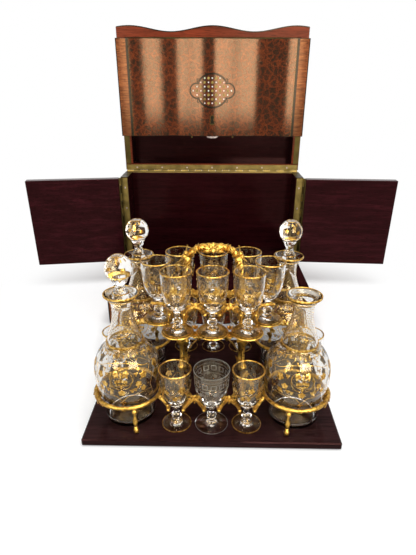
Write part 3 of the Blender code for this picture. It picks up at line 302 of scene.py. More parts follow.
def burr_veneer(name):
    """Burr veneer, French polished: orange-red veins round dark eyes some 6 mm apart, under a hazy gloss."""
    material, tree, shader, coords = start_material(name)
    finish = sizes("finish")
    sway = add_node(tree, "ShaderNodeTexNoise", {"Vector": coords, "Scale": 160, "Detail": 6,
        "Roughness": 0.75},
        out="Color")
    centred = add_node(tree, "ShaderNodeVectorMath", {0: sway, 1: (0.5, 0.5, 0.5)}, operation="SUBTRACT")
    small = add_node(tree, "ShaderNodeVectorMath", {0: centred, "Scale": 0.015}, operation="SCALE")
    bent = add_node(tree, "ShaderNodeVectorMath", {0: coords, 1: small}, operation="ADD")
    large, fine = (add_node(tree, "ShaderNodeTexVoronoi", {"Vector": bent, "Scale": scale},
        feature="DISTANCE_TO_EDGE") for scale in (92, 215))
    deeper = add_node(tree, "ShaderNodeMath", {0: fine, 1: 1.5, 2: 0.055}, operation="MULTIPLY_ADD")
    cells = add_node(tree, "ShaderNodeMath", {0: large, 1: deeper}, operation="MINIMUM")
    patches = add_node(tree, "ShaderNodeTexNoise", {"Vector": coords, "Scale": 36, "Detail": 3})
    spread = add_node(tree, "ShaderNodeMapRange", {"Value": patches, "From Min": 0.3, "From Max": 0.7,
        "To Min": -0.08, "To Max": 0.07})
    depth = add_node(tree, "ShaderNodeMath", {0: cells, 1: spread}, operation="SUBTRACT")
    ground = add_node(tree, "ShaderNodeValToRGB", {"Fac": depth}, [
        (0.0, finish.burr_bright), (0.06, "722C12"), (0.13, finish.burr_ground), (0.21, finish.burr_dark)])
    fleck = add_node(tree, "ShaderNodeTexNoise", {"Vector": bent, "Scale": 330, "Detail": 3, "Roughness": 0.65,
        "Distortion": 1.6})
    squiggles = add_node(tree, "ShaderNodeValToRGB", {"Fac": fleck},
        [(0.36, "4A2620"), (0.46, "B89C94"), (0.58, "FFFFFF")])
    upright = add_node(tree, "ShaderNodeMapping", {"Vector": coords, "Scale": (1.0, 1.0, 0.05)})
    cracks = add_node(tree, "ShaderNodeTexNoise", {"Vector": upright, "Scale": 520, "Detail": 1})
    split = add_node(tree, "ShaderNodeValToRGB", {"Fac": cracks}, [(0.27, "3A2018"), (0.3, "FFFFFF")])
    figured = add_node(tree, "ShaderNodeMix", {0: 0.9, 6: ground, 7: squiggles}, **DARKEN)
    cracked = add_node(tree, "ShaderNodeMix", {0: 0.7, 6: figured, 7: split}, **DARKEN)
    polish(tree, shader, cracked, 0.13, 0.44, "FFC592", fleck, 0.00003)
    return material


def cross_banding(name, along):
    """Cross-banded tulipwood: short blocks of pinkish brown with fine dark lines across the band."""
    material, tree, shader, coords = start_material(name)
    tone, pores = grained(tree, coords, along, ("5A2A16", "88482A", "AC6638"), 3.4, 0.9)
    run = add_node(tree, "ShaderNodeSeparateXYZ", {"Vector": coords}, out="Z" if along != "Z" else "X")
    block = add_node(tree, "ShaderNodeMath", {0: run, 1: 0.037}, operation="SNAP")
    chance = add_node(tree, "ShaderNodeTexWhiteNoise", {"W": block}, out="Value", noise_dimensions="1D")
    shift = add_node(tree, "ShaderNodeMapRange", {"Value": chance, "To Min": 0.6, "To Max": 1.35})
    varied = add_node(tree, "ShaderNodeVectorMath", {0: tone, "Scale": shift}, operation="SCALE")
    polish(tree, shader, varied, 0.2, 0.3, "FFBC81", pores, 0.00003)
    return material


def speckled(name, scale, detail, stops, gloss, transmission=0.0, ior=1.5):
    """A finish in close tones with fine specks; gloss is roughness, specular level and specular tint."""
    material, tree, shader, coords = start_material(name)
    specks = add_node(tree, "ShaderNodeTexNoise", {"Vector": coords, "Scale": scale, "Detail": detail})
    polish(tree, shader, add_node(tree, "ShaderNodeValToRGB", {"Fac": specks}, stops), *gloss)
    feed(tree, shader, {"Transmission Weight": transmission, "IOR": ior})
    return material


def metal(name, tones, roughness, patch_mm, chased=0.0):
    """A metal whose colour and gloss drift in patches, with painted shade where the surface is hollow."""
    material, tree, shader, coords = start_material(name)
    patches = add_node(tree, "ShaderNodeTexNoise", {"Vector": coords, "Scale": 1000 / patch_mm, "Detail": 4})
    tone = add_node(tree, "ShaderNodeValToRGB", {"Fac": patches}, list(zip((0.34, 0.5, 0.66), tones)))
    # Painted shade: where the surface is hollow its colour is darkened, as if less light reached it.
    edges = add_node(tree, "ShaderNodeNewGeometry", out="Pointiness")
    hollow = add_node(tree, "ShaderNodeValToRGB", {"Fac": edges}, [(0.4, "6E6256"), (0.5, "FFFFFF")])
    gloss = add_node(tree, "ShaderNodeMapRange", {"Value": patches, "From Min": 0.3, "From Max": 0.7,
        "To Min": roughness[0], "To Max": roughness[1]})
    shaded_tone = add_node(tree, "ShaderNodeMix", {0: 0.85, 6: tone, 7: hollow}, **DARKEN)
    feed(tree, shader, {"Base Color": shaded_tone, "Roughness": gloss, "Metallic": 1.0})
    if chased:
        fine = add_node(tree, "ShaderNodeTexNoise", {"Vector": coords, "Scale": 2500 / patch_mm, "Detail": 3})
        bump = add_node(tree, "ShaderNodeBump", {"Strength": 1.0, "Distance": chased, "Height": fine})
        feed(tree, shader, {"Normal": bump})
    return material


def gilt_bronze(name):
    """Mercury-gilt bronze, chased and part burnished: rich yellow in patches that are partly burnish and partly
    painted dark reflection and painted highlight, with painted shade in the hollows.
    """
    gilt = sizes("finish").gilt
    # The brown and the brighter yellow tones are painted dark reflections and painted highlights as well as the
    # uneven burnish.
    tones = ([c * share for c, share in zip(gilt, (0.42, 0.37, 0.3))], gilt, [min(1.0, c * 1.25) for c in gilt])
    return metal(name, tones, (0.24, 0.45), 3.0, 0.0002)


def aged_brass(name, light):
    """Rolled brass, aged under old lacquer: olive brown and dull, brighter where it is rubbed; light scales its
    colour, so that its brighter and darker copies carry painted light and painted shade as well as rubbing and
    tarnish.
    """
    brass = [min(1.0, c * light) for c in sizes("finish").brass]
    return metal(name, [[min(1.0, c * share) for c in brass] for share in (0.7, 1.0, 1.4)], (0.3, 0.5), 16.0)


MAKERS = {
    "rosewood": (rosewood, "rosewood_polished", "X", 1.5),
    "rosewood_upright": (rosewood, "rosewood_returns", "Y", 1.5),
    "rosewood_board": (rosewood, "rosewood_board_waxed", "X", 1.6, 0.06, "2E1A1A"),
    "rosewood_wing": (rosewood, "rosewood_wings", "X", 2.0, 0.12, "2C0D12"),
    "mahogany_rim": (mahogany, "mahogany_rim", 1.15),
    "burr": (burr_veneer, "burr_veneer_french_polished"),
    "banding": (cross_banding, "tulipwood_cross_banding", "X"),
    "banding_upright": (cross_banding, "tulipwood_cross_banding_upright", "Z"),
    # Ebonised pear, polished: a green-black line with hardly any grain; the same black is laid as painted shade
    # in the keyhole's opening and along the lid's rim
    "ebony": (speckled, "ebonised_line", 420, 3, [(0.35, "070806"), (0.65, "1C1E17")], (0.2, 0.15, "FFD8B0")),
    # Mother-of-pearl, ground flat: milky white with pink and green lights
    "pearl": (speckled, "mother_of_pearl", 140, 1, [(0.38, "FFE3DA"), (0.5, "FFFFFF"), (0.6, "E4F4D2")],
              (0.15, 0.5, "FFFFFF")),
    "brass": (aged_brass, "rolled_brass_aged", 1.0),
    # Brighter and darker copies of the same brass: rubbing and tarnish, and also painted light and painted shade
    # on the parts that show them.
    "brass_rubbed": (aged_brass, "rolled_brass_rubbed", 2.1),
    "brass_tarnished": (aged_brass, "rolled_brass_tarnished", 0.35),
    # Filed steel, dull and slightly pink with age
    "steel": (metal, "filed_steel", ("5E524E", "8E807A", "B0A29A"), (0.32, 0.5), 5.0),
    "gilt": (gilt_bronze, "gilt_bronze_chased"),
    # Gold fired on the glass and burnished by hand: warm, thin, with worn duller patches
    "gold": (metal, "fired_gold", ("7C5622", "BC8C3A", "E4C474"), (0.24, 0.45), 2.4),
    # Lead crystal, blown and polished: clear, with the bright lines of its thick walls
    "crystal": (speckled, "lead_crystal", 130, 1, [(0.3, "F8F4EC"), (0.7, "FFFFFF")], (0.0, 0.5, "DCC6A0"),
    1.0, 1.54),
    # Wheel-cut matt work in the glass: thin, white and frosted
    "frost": (speckled, "wheel_cut_frost", 900, 2, [(0.35, "9A968E"), (0.65, "C6C0B8")], (0.55, 0.5,
    "FFFFFF"), 0.68,
              1.45),
}
FINISHES = {}


def finish_of(key):
    """The finish of that key, made when it is first asked for."""
    if key not in FINISHES:
        maker, *values = MAKERS[key]
        FINISHES[key] = maker(*values)
    return FINISHES[key]


# Shapes


def loft(bm, rings, closed=False):
    """Skins rings of one count of points; the ends are filled unless the run closes on itself."""
    loops = [[bm.verts.new(point) for point in ring] for ring in rings]
    count = len(loops[0])
    pairs = list(zip(loops, loops[1:]))
    if closed:
        pairs.append((loops[-1], loops[0]))
    for low, high in pairs:
        for i in range(count):
            j = (i + 1) % count
            bm.faces.new((low[i], low[j], high[j], high[i]))
    if not closed:
        bm.faces.new(loops[0][::-1])
        bm.faces.new(loops[-1])


def lathe(bm, profile, steps, place=Matrix.Identity(4), closed=False):
    """Turns (radius, height) points round the Z axis; a third number cuts the turn into eight flat facets."""
    facet = tau / 8
    rings = []
    for radius, height, *cut in profile:
        share = cut[0] if cut else 0.0
        ring = []
        for i in range(steps):
            turn = tau * i / steps
            off = turn % facet - facet / 2
            flat = cos(facet / 2) / cos(off)
            r = radius * (1 - share + share * flat)
            ring.append(place @ Vector((r * cos(turn), r * sin(turn), height)))
        rings.append(ring)
    loft(bm, rings, closed)


def flowing(points, steps):
    """More points on a smooth curve through the given ones; they may carry more numbers than three."""
    dense = []
    for i in range(len(points) - 1):
        four = (points[max(i - 1, 0)], points[i], points[i + 1], points[min(i + 2, len(points) - 1)])
        for step in range(steps):
            t = step / steps
            dense.append([0.5 * (2 * b + (c - a) * t + (2 * a - 5 * b + 4 * c - d) * t ** 2
                + (3 * b - a - 3 * c + d) * t ** 3) for a, b, c, d in zip(*four)])
    dense.append(list(points[-1]))
    return dense


def sweep(bm, line, sides=8, closed=False, place=Matrix.Identity(4)):
    """A round bar along (x, y, z, radius) points."""
    places = [Vector(p[:3]) for p in line]
    count = len(places)
    normal = None
    rings = []
    for i, centre in enumerate(places):
        ahead = places[(i + 1) % count] if closed or i < count - 1 else centre
        behind = places[i - 1] if closed or i > 0 else centre
        tangent = (ahead - behind).normalized()
        if normal is None:
            normal = tangent.orthogonal().normalized()
            if abs(tangent.z) < 0.9:
                normal = (UP - tangent * tangent.z).normalized()
        normal = (normal - tangent * normal.dot(tangent)).normalized()
        side = tangent.cross(normal)
        radius = line[i][3]
        turns = [tau * k / sides for k in range(sides)]
        rings.append([place @ (centre + normal * radius * cos(a) + side * radius * sin(a)) for a in turns])
    loft(bm, rings, closed)


def ball(bm, centre, radius, stretch=(1.0, 1.0, 1.0), steps=12):
    """A round bead, or an oval one."""
    place = Matrix.Translation(centre) @ Matrix.Diagonal((*stretch, 1.0))
    angles = [pi * (i + 0.5) / (steps // 2) for i in range(steps // 2)]
    lathe(bm, [(radius * sin(a), -radius * cos(a)) for a in angles], steps, place)


def block(bm, low, high, place=Matrix.Identity(4)):
    """A block between two corners."""
    (x0, y0, z0), (x1, y1, z1) = low, high
    loft(bm, [[place @ Vector(p) for p in ((x0, y0, z), (x1, y0, z), (x1, y1, z), (x0, y1,
        z))] for z in (z0, z1)])


def acanthus(bm, place, length, width, rise, lobes=2, thickness=0.0007):
    """A chased leaf from the origin along +X: lobed edges, a raised rib and its tip lifted."""
    steps = lobes * 4
    rings = []
    for i in range(steps + 1):
        t = i / steps
        spread = sin(pi * min(1.0, 0.12 + 0.88 * t) ** 0.8)
        half = width / 2 * max(0.08, spread) * (0.8 + 0.2 * abs(cos(lobes * pi * t)))
        z = rise * sin(pi / 2 * t)
        cup = z - 0.22 * half
        rib = z + thickness * 0.6
        rings.append([place @ Vector((length * t, y, height)) for y, height in (
            (-half, cup), (-half * 0.5, rib), (0.0, z + thickness), (half * 0.5, rib), (half, cup),
            (0.0, z - thickness))])
    loft(bm, rings)


def towards(place, direction, up=UP):
    """A place whose +X points in the direction and whose +Z leans to up."""
    x_axis = Vector(direction).normalized()
    y_axis = Vector(up).cross(x_axis)
    y_axis = y_axis.normalized() if y_axis.length > 1e-6 else x_axis.orthogonal().normalized()
    return framed(place, x_axis, y_axis)


def framed(place, x_axis, y_axis):
    """A place with those two axes."""
    x_axis, y_axis = Vector(x_axis), Vector(y_axis)
    turn = Matrix((x_axis, y_axis, x_axis.cross(y_axis))).transposed().to_4x4()
    return Matrix.Translation(place) @ turn


def baluster(bm, foot, head, radius, shares, steps=16):
    """A turned leg between two points, from (share of length, share of radius) pairs."""
    foot, head = Vector(foot), Vector(head)
    run = head - foot
    place = Matrix.Translation(foot) @ run.to_track_quat("Z", "Y").to_matrix().to_4x4()
    lathe(bm, [(share_r * radius, share_z * run.length) for share_z, share_r in shares], steps, place)


def mesh_from(bm, name, clean=True):
    """A mesh from a bmesh, its faces turned outward if they are to be cleaned."""
    if clean:
        bmesh.ops.recalc_face_normals(bm, faces=bm.faces)
    mesh = bpy.data.meshes.new(name)
    bm.to_mesh(mesh)
    bm.free()
    return mesh


def template(name, mesh):
    """An object in the scene for a geometry tree to read."""
    thing = bpy.data.objects.new(name, mesh)
    bpy.context.scene.collection.objects.link(thing)
    return thing


def add_piece(name, shape, finish, body, replaces=(), sharp=38.0, clean=True, turn=None):
    """Takes a bmesh or a mesh by turn to its place, as a smooth piece of that body with its finish."""
    if turn is not None:
        shape.transform(turn)
    mesh = mesh_from(shape, name, clean) if isinstance(shape, bmesh.types.BMesh) else shape
    mesh.name = name
    for key in [finish] if isinstance(finish, str) else finish:
        mesh.materials.append(finish_of(key))
    mesh.shade_smooth()
    mesh.set_sharp_from_angle(angle=radians(sharp))
    thing = template(name, mesh)
    if replaces:
        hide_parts(*replaces)
    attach(thing, body)
    return thing


def shut_to_rest(body):
    """Takes a place on the shut case to where that body stands open."""
    turn = Matrix.Identity(4)
    while body in HINGES:
        joint = HINGES[body]
        pivot = Vector(joint["pos_m"])
        swing = Matrix.Rotation(radians(joint["range_deg"][1]), 4, Vector(joint["axis"]))
        turn = Matrix.Translation(pivot) @ swing @ Matrix.Translation(-pivot) @ turn
        body = joint["parent"]
    return turn.inverted()


def front_line(x):
    """Depth of the serpentine front of the shut case at a place across it."""
    case = sizes("case")
    return FRONT_Y + case.wave_depth * (1 - cos(tau * x / case.wave_period)) / 2


# Geometry Nodes


def start_tree(name, *inputs):
    """A geometry tree with a finish and other named inputs, each given as its label and its kind."""
    tree = bpy.data.node_groups.new(name, "GeometryNodeTree")
    for label, kind in (("Geometry", "Geometry"), *inputs, ("Finish", "Material")):
        tree.interface.new_socket(label, in_out="INPUT", socket_type="NodeSocket" + kind)
    tree.interface.new_socket("Geometry", in_out="OUTPUT", socket_type="NodeSocketGeometry")
    return tree, tree.nodes.new("NodeGroupInput").outputs


def end_tree(tree, geometry, given):
    """Closes a tree with real geometry and its finish."""
    real = add_node(tree, "GeometryNodeRealizeInstances", {0: geometry})
    dressed = add_node(tree, "GeometryNodeSetMaterial", {"Geometry": real, "Material": given["Finish"]})
    tree.links.new(dressed, tree.nodes.new("NodeGroupOutput").inputs[0])
    return tree


def grow(key, inputs, finish, base=None):
    """Runs the tree of that key on a base object, or on an empty mesh, and gives the result as a plain mesh."""
    if key not in TREES:
        TREES[key] = TREE_MAKERS[key]()
    tree = TREES[key]
    inputs = {**inputs, "Finish": finish_of(finish)}
    host = base or bpy.data.objects.new(tree.name, bpy.data.meshes.new(tree.name))
    bpy.context.scene.collection.objects.link(host)
    modifier = host.modifiers.new(tree.name, "NODES")
    modifier.node_group = tree
    for item in tree.interface.items_tree:
        if item.item_type == "SOCKET" and item.in_out == "INPUT" and item.name in inputs:
            modifier[item.identifier] = inputs[item.name]
    bpy.context.view_layer.update()
    graph = bpy.context.evaluated_depsgraph_get()
    mesh = bpy.data.meshes.new_from_object(host.evaluated_get(graph))
    host.modifiers.remove(modifier)
    bpy.data.objects.remove(host, do_unlink=True)
    return mesh


WAVE_INPUTS = (("Middle Y", "Float"), ("Swing", "Float"), ("Turn", "Float"))


def wave_values(crest):
    """What the trees with a wave are given: the line's middle, half its swing and its turn in a metre."""
    case = sizes("case")
    return {"Middle Y": crest + case.wave_depth / 2, "Swing": -case.wave_depth / 2,
        "Turn": tau / case.wave_period}


def wave_in_tree(tree, x, given):
    """Depth of the serpentine line in a tree: middle + swing cos(turn x)."""
    turn = add_node(tree, "ShaderNodeMath", {0: x, 1: given["Turn"]}, operation="MULTIPLY")
    swing = add_node(tree, "ShaderNodeMath", {0: turn}, operation="COSINE")
    return add_node(tree, "ShaderNodeMath", {0: swing, 1: given["Swing"], 2: given["Middle Y"]},
        operation="MULTIPLY_ADD")


def wave_sheet_tree():
    """A veneer sheet on the serpentine line, its face towards -Y, from its sizes, middle and wave."""
    tree, given = start_tree("serpentine_sheet", ("Width", "Float"), ("Height", "Float"), ("Columns", "Int"),
        ("Middle X", "Float"), ("Middle Z", "Float"), ("Thickness", "Float"), *WAVE_INPUTS)
    grid = add_node(tree, "GeometryNodeMeshGrid", {"Vertices Y": 2, "Size X": given["Width"],
        "Size Y": given["Height"], "Vertices X": given["Columns"]})
    position = add_node(tree, "GeometryNodeInputPosition")
    across, up = (add_node(tree, "ShaderNodeSeparateXYZ", {0: position}, out=axis) for axis in "XY")
    x = add_node(tree, "ShaderNodeMath", {0: across, 1: given["Middle X"]}, operation="ADD")
    z = add_node(tree, "ShaderNodeMath", {0: up, 1: given["Middle Z"]}, operation="ADD")
    target = add_node(tree, "ShaderNodeCombineXYZ", {"X": x, "Y": wave_in_tree(tree, x, given), "Z": z})
    back = add_node(tree, "GeometryNodeSetPosition", {"Geometry": grid, "Position": target})
    front = add_node(tree, "GeometryNodeExtrudeMesh", {"Offset": (0.0, -1.0, 0.0), "Individual": False,
        "Mesh": back, "Offset Scale": given["Thickness"]})
    flipped = add_node(tree, "GeometryNodeFlipFaces", {0: back})
    both = add_node(tree, "GeometryNodeJoinGeometry", {0: [front, flipped]})
    return end_tree(tree, add_node(tree, "GeometryNodeMergeByDistance", {"Distance": 0.000001, 0: both}), given)


def hinge_leaf_tree():
    """A strip hinge's leaf along Z with its knuckles, each a barrel with the tab that holds it."""
    tree, given = start_tree("hinge_leaf", ("Leaf Size", "Vector"), ("Leaf Place", "Vector"), ("Tab Size",
        "Vector"),
        ("Tab Place", "Vector"), ("Barrel Radius", "Float"), ("Barrel Length", "Float"),
        ("Knuckles", "Int"), ("Start", "Vector"), ("Step", "Vector"))
    leaf, tab = (add_node(tree, "GeometryNodeTransform", {
        "Geometry": add_node(tree, "GeometryNodeMeshCube", {"Size": given[part + " Size"]}),
        "Translation": given[part + " Place"]}) for part in ("Leaf", "Tab"))
    barrel = add_node(tree, "GeometryNodeMeshCylinder", {"Vertices": 20, "Radius": given["Barrel Radius"],
        "Depth": given["Barrel Length"]})
    knuckle = add_node(tree, "GeometryNodeJoinGeometry", {0: [barrel, tab]})
    line = add_node(tree, "GeometryNodeMeshLine", {"Count": given["Knuckles"], "Start Location": given["Start"],
        "Offset": given["Step"]})
    knuckles = add_node(tree, "GeometryNodeInstanceOnPoints", {"Points": line, "Instance": knuckle})
    return end_tree(tree, add_node(tree, "GeometryNodeJoinGeometry", {0: [leaf, knuckles]}), given)


def screw_row_tree():
    """A row of one screw head, each slot turned its own way."""
    tree, given = start_tree("screw_row", ("Head", "Object"), ("Count", "Int"), ("Start", "Vector"),
        ("Step", "Vector"), ("Facing", "Vector"), ("Seed", "Int"))
    head = add_node(tree, "GeometryNodeObjectInfo", {"Object": given["Head"]}, out="Geometry")
    line = add_node(tree, "GeometryNodeMeshLine", {"Count": given["Count"], "Start Location": given["Start"],
        "Offset": given["Step"]})
    row = add_node(tree, "GeometryNodeInstanceOnPoints", {"Points": line, "Instance": head,
        "Rotation": given["Facing"]})
    turn = add_node(tree, "FunctionNodeRandomValue", {"Max": pi, "Seed": given["Seed"]}, out=1,
        data_type="FLOAT")
    about = add_node(tree, "ShaderNodeCombineXYZ", {"Z": turn})
    return end_tree(tree, add_node(tree, "GeometryNodeRotateInstances", {"Instances": row,
        "Rotation": about}), given)


def inlay_dots_tree():
    """Round inlays at the base's points, set back to the serpentine line."""
    tree, given = start_tree("inlay_dots", ("Radius", "Float"), ("Thickness", "Float"), *WAVE_INPUTS)
    position = add_node(tree, "GeometryNodeInputPosition")
    depth = wave_in_tree(tree, add_node(tree, "ShaderNodeSeparateXYZ", {0: position}, out="X"), given)
    points = add_node(tree, "GeometryNodeSetPosition", {
        "Geometry": given["Geometry"], "Offset": add_node(tree, "ShaderNodeCombineXYZ", {"Y": depth})})
    dot = add_node(tree, "GeometryNodeMeshCylinder", {"Vertices": 14, "Radius": given["Radius"],
        "Depth": given["Thickness"]})
    return end_tree(tree, add_node(tree, "GeometryNodeInstanceOnPoints", {
        "Rotation": (pi / 2, 0.0, 0.0), "Points": points, "Instance": dot}), given)


def leaf_run_tree():
    """Leaves bound along a curve, each turned a step further round it than the last."""
    tree, given = start_tree("leaf_run", ("Leaf", "Object"), ("Spacing", "Float"), ("Twist", "Float"),
        ("Start Turn", "Float"))
    leaf = add_node(tree, "GeometryNodeObjectInfo", {"Object": given["Leaf"]}, out="Geometry")
    curve = add_node(tree, "GeometryNodeMeshToCurve", {"Mesh": given["Geometry"]})
    points = add_node(tree, "GeometryNodeCurveToPoints", {"Curve": curve, "Length": given["Spacing"]},
        mode="LENGTH")
    index = add_node(tree, "GeometryNodeInputIndex")
    turn = add_node(tree, "ShaderNodeMath", {0: index, 1: given["Twist"], 2: given["Start Turn"]},
        operation="MULTIPLY_ADD")
    about = add_node(tree, "ShaderNodeCombineXYZ", {"Z": turn})
    placed = add_node(tree, "GeometryNodeInstanceOnPoints", {
        "Points": points, "Instance": leaf, "Rotation": points.node.outputs["Rotation"]})
    return end_tree(tree, add_node(tree, "GeometryNodeRotateInstances", {"Instances": placed,
        "Rotation": about}),
        given)


TREE_MAKERS = {"sheet": wave_sheet_tree, "leaf": hinge_leaf_tree, "screws": screw_row_tree,
    "dots": inlay_dots_tree, "run": leaf_run_tree}
TREES = {}


# Veneers


def add_veneer(name, parts, body, turn=Matrix.Identity(4)):
    """One piece of (mesh, finish key) pairs, laid on the shut case and taken to rest, with the keys in order."""
    keys = []
    bm = bmesh.new()
    for mesh, key in parts:
        if key not in keys:
            keys.append(key)
        first = len(bm.faces)
        bm.from_mesh(mesh)
        bm.faces.ensure_lookup_table()
        for face in bm.faces[first:]:
            face.material_index = keys.index(key)
        bpy.data.meshes.remove(mesh)
    add_piece(name, bm, keys, body, clean=False, turn=shut_to_rest(body) @ turn)


def wave_sheet(low_x, high_x, low_z, high_z, key="ebony"):
    """One band of veneer on the serpentine front, in the shut case's frame."""
    case = sizes("case")
    return grow("sheet", {"Width": high_x - low_x, "Height": high_z - low_z, "Middle X": (low_x + high_x) / 2,
        "Middle Z": (low_z + high_z) / 2, "Columns": math.ceil((high_x - low_x) / case.wave_step) + 1,
        "Thickness": case.veneer, **wave_values(FRONT_Y - SHEET_GAP)}, key), key


def framed_bands(half_width, low, high):
    """Bands of a serpentine front across its width: edge, cross-banding, ebony, brass, then the burr field."""
    case = sizes("case")
    parts = []
    outer = half_width
    # The brass line is laid in the darker copy of the brass: tarnish, with painted shade.
    for band, key in ((case.edge_line, "ebony"), (case.banding, "banding"), (case.stringing, "ebony"),
            (case.brass_line, "brass_tarnished")):
        parts.append(wave_sheet(-outer, band - outer, low, high, key))
        parts.append(wave_sheet(outer - band, outer, low, high, key))
        outer -= band
    parts.append(wave_sheet(-outer, outer, low, high, "burr"))
    return parts


def banded_panel(width, height):
    """A flat veneered panel in XZ from the origin's corner, facing -Y: banding, lines and burr field."""
    case = sizes("case")
    parts = []

    def lay(x0, x1, z0, z1, key):
        bm = bmesh.new()
        block(bm, (x0, -case.veneer, z0), (x1, 0.0, z1))
        parts.append((mesh_from(bm, "strip"), key))

    left, low, right, high = 0.0, 0.0, width, height
    # The brass line is laid in the darker copy of the brass: tarnish, with painted shade.
    for band, key, upright in (
            (case.edge_line, "ebony", "ebony"), (case.banding * 0.6, "banding", "banding_upright"),
            (case.stringing * 0.6, "ebony", "ebony"), (case.brass_line, "brass_tarnished", "brass_tarnished")):
        lay(left, left + band, low, high, key)
        lay(right - band, right, low, high, key)
        lay(left + band, right - band, low, low + band, upright)
        lay(left + band, right - band, high - band, high, upright)
        left, low, right, high = left + band, low + band, right - band, high - band
    lay(left, right, low, high, "burr")
    return parts


# Operators of the case


class LIQUEUR_OT_boards(bpy.types.Operator):
    """Give the boards, the tray, the lock and the small fittings their finishes"""
    bl_idname = "liqueur.boards"
    bl_label = "Boards and fittings"

    def execute(self, context):
        finishes = {"rosewood": ("back_panel", "lid_top", "base_frame", "base_floor"),
            "rosewood_wing": ("wing_left", "wing_right"), "rosewood_upright": ("return_left", "return_right"),
            "rosewood_board": ("tray_board",), "mahogany_rim": ("lid_frame",), "burr": ("flap_panel",),
            "brass": ("strike_plate", "escutcheon", "locating_pin_left", "locating_pin_right"),
            "steel": ("lock_case", "lock_bolt")}
        for key, nodes in finishes.items():
            for node in nodes:
                frame["nodes"][node].material_slots[0].material = finish_of(key)
        return {"FINISHED"}


class LIQUEUR_OT_front(bpy.types.Operator):
    """Lay the veneers of the flap, the base's front and the lid's front"""
    bl_idname = "liqueur.front"
    bl_label = "Serpentine veneers"

    def execute(self, context):
        half = HALF_WIDTH - 0.0003
        line = sizes("case").edge_line / 2
        middle = BASE_TOP / 2
        lid_low = CASE_TOP + 0.0003
        for name, body, fields, lines in (("flap_veneer", "flap", [(FLAP_LOW + line, FLAP_HIGH - line)],
                [(FLAP_HIGH - line, FLAP_HIGH), (FLAP_LOW, FLAP_LOW + line)]),
                ("base_front_veneer", "case", [(line, middle - line), (middle + line, BASE_TOP - line)],
                [(0.0, line), (middle - line, middle + line), (BASE_TOP - line, BASE_TOP)]),
                ("lid_front_veneer", "lid", [(lid_low + line, LID_TOP - line)],
                [(lid_low, lid_low + line), (LID_TOP - line, LID_TOP)])):
            parts = [part for low, high in fields for part in framed_bands(half, low, high)]
            add_veneer(name, parts + [wave_sheet(-half, half, low, high) for low, high in lines], body)
        return {"FINISHED"}


class LIQUEUR_OT_panels(bpy.types.Operator):
    """Lay the banded veneers of the sides and the lid's top"""
    bl_idname = "liqueur.panels"
    bl_label = "Side and top veneers"

    def execute(self, context):
        margin, play = 0.0005, 0.0018
        near_front = FRONT_Y + 0.002
        for side, word in SIDES:
            for name, body, near, far, low, high in (
                    ("wing_veneer_", "wing_" + word, FLAP_INNER_Y + 0.0008, RETURN_Y - play, BASE_TOP + margin,
                    CASE_TOP - margin),
                    ("return_veneer_", "case", RETURN_Y + play, REAR_Y, BASE_TOP + margin, CASE_TOP - margin),
                    ("lid_side_veneer_", "lid", near_front, REAR_Y, CASE_TOP + margin, LID_TOP),
                    ("base_side_veneer_", "case", near_front, REAR_Y, 0.0, BASE_TOP)):
                corner = (side * (HALF_WIDTH + SHEET_GAP), near if side > 0 else far, low)
                add_veneer(name + word, banded_panel(far - near, high - low), body,
                    framed(corner, (0, side, 0), (-side, 0, 0)))
        add_veneer("lid_top_veneer", banded_panel(2 * HALF_WIDTH - 0.001, REAR_Y - FRONT_Y - 0.0105), "lid",
            framed((-HALF_WIDTH + 0.0005, FRONT_Y + 0.01, LID_TOP + SHEET_GAP), (1, 0, 0), (0, 0, -1)))
        return {"FINISHED"}


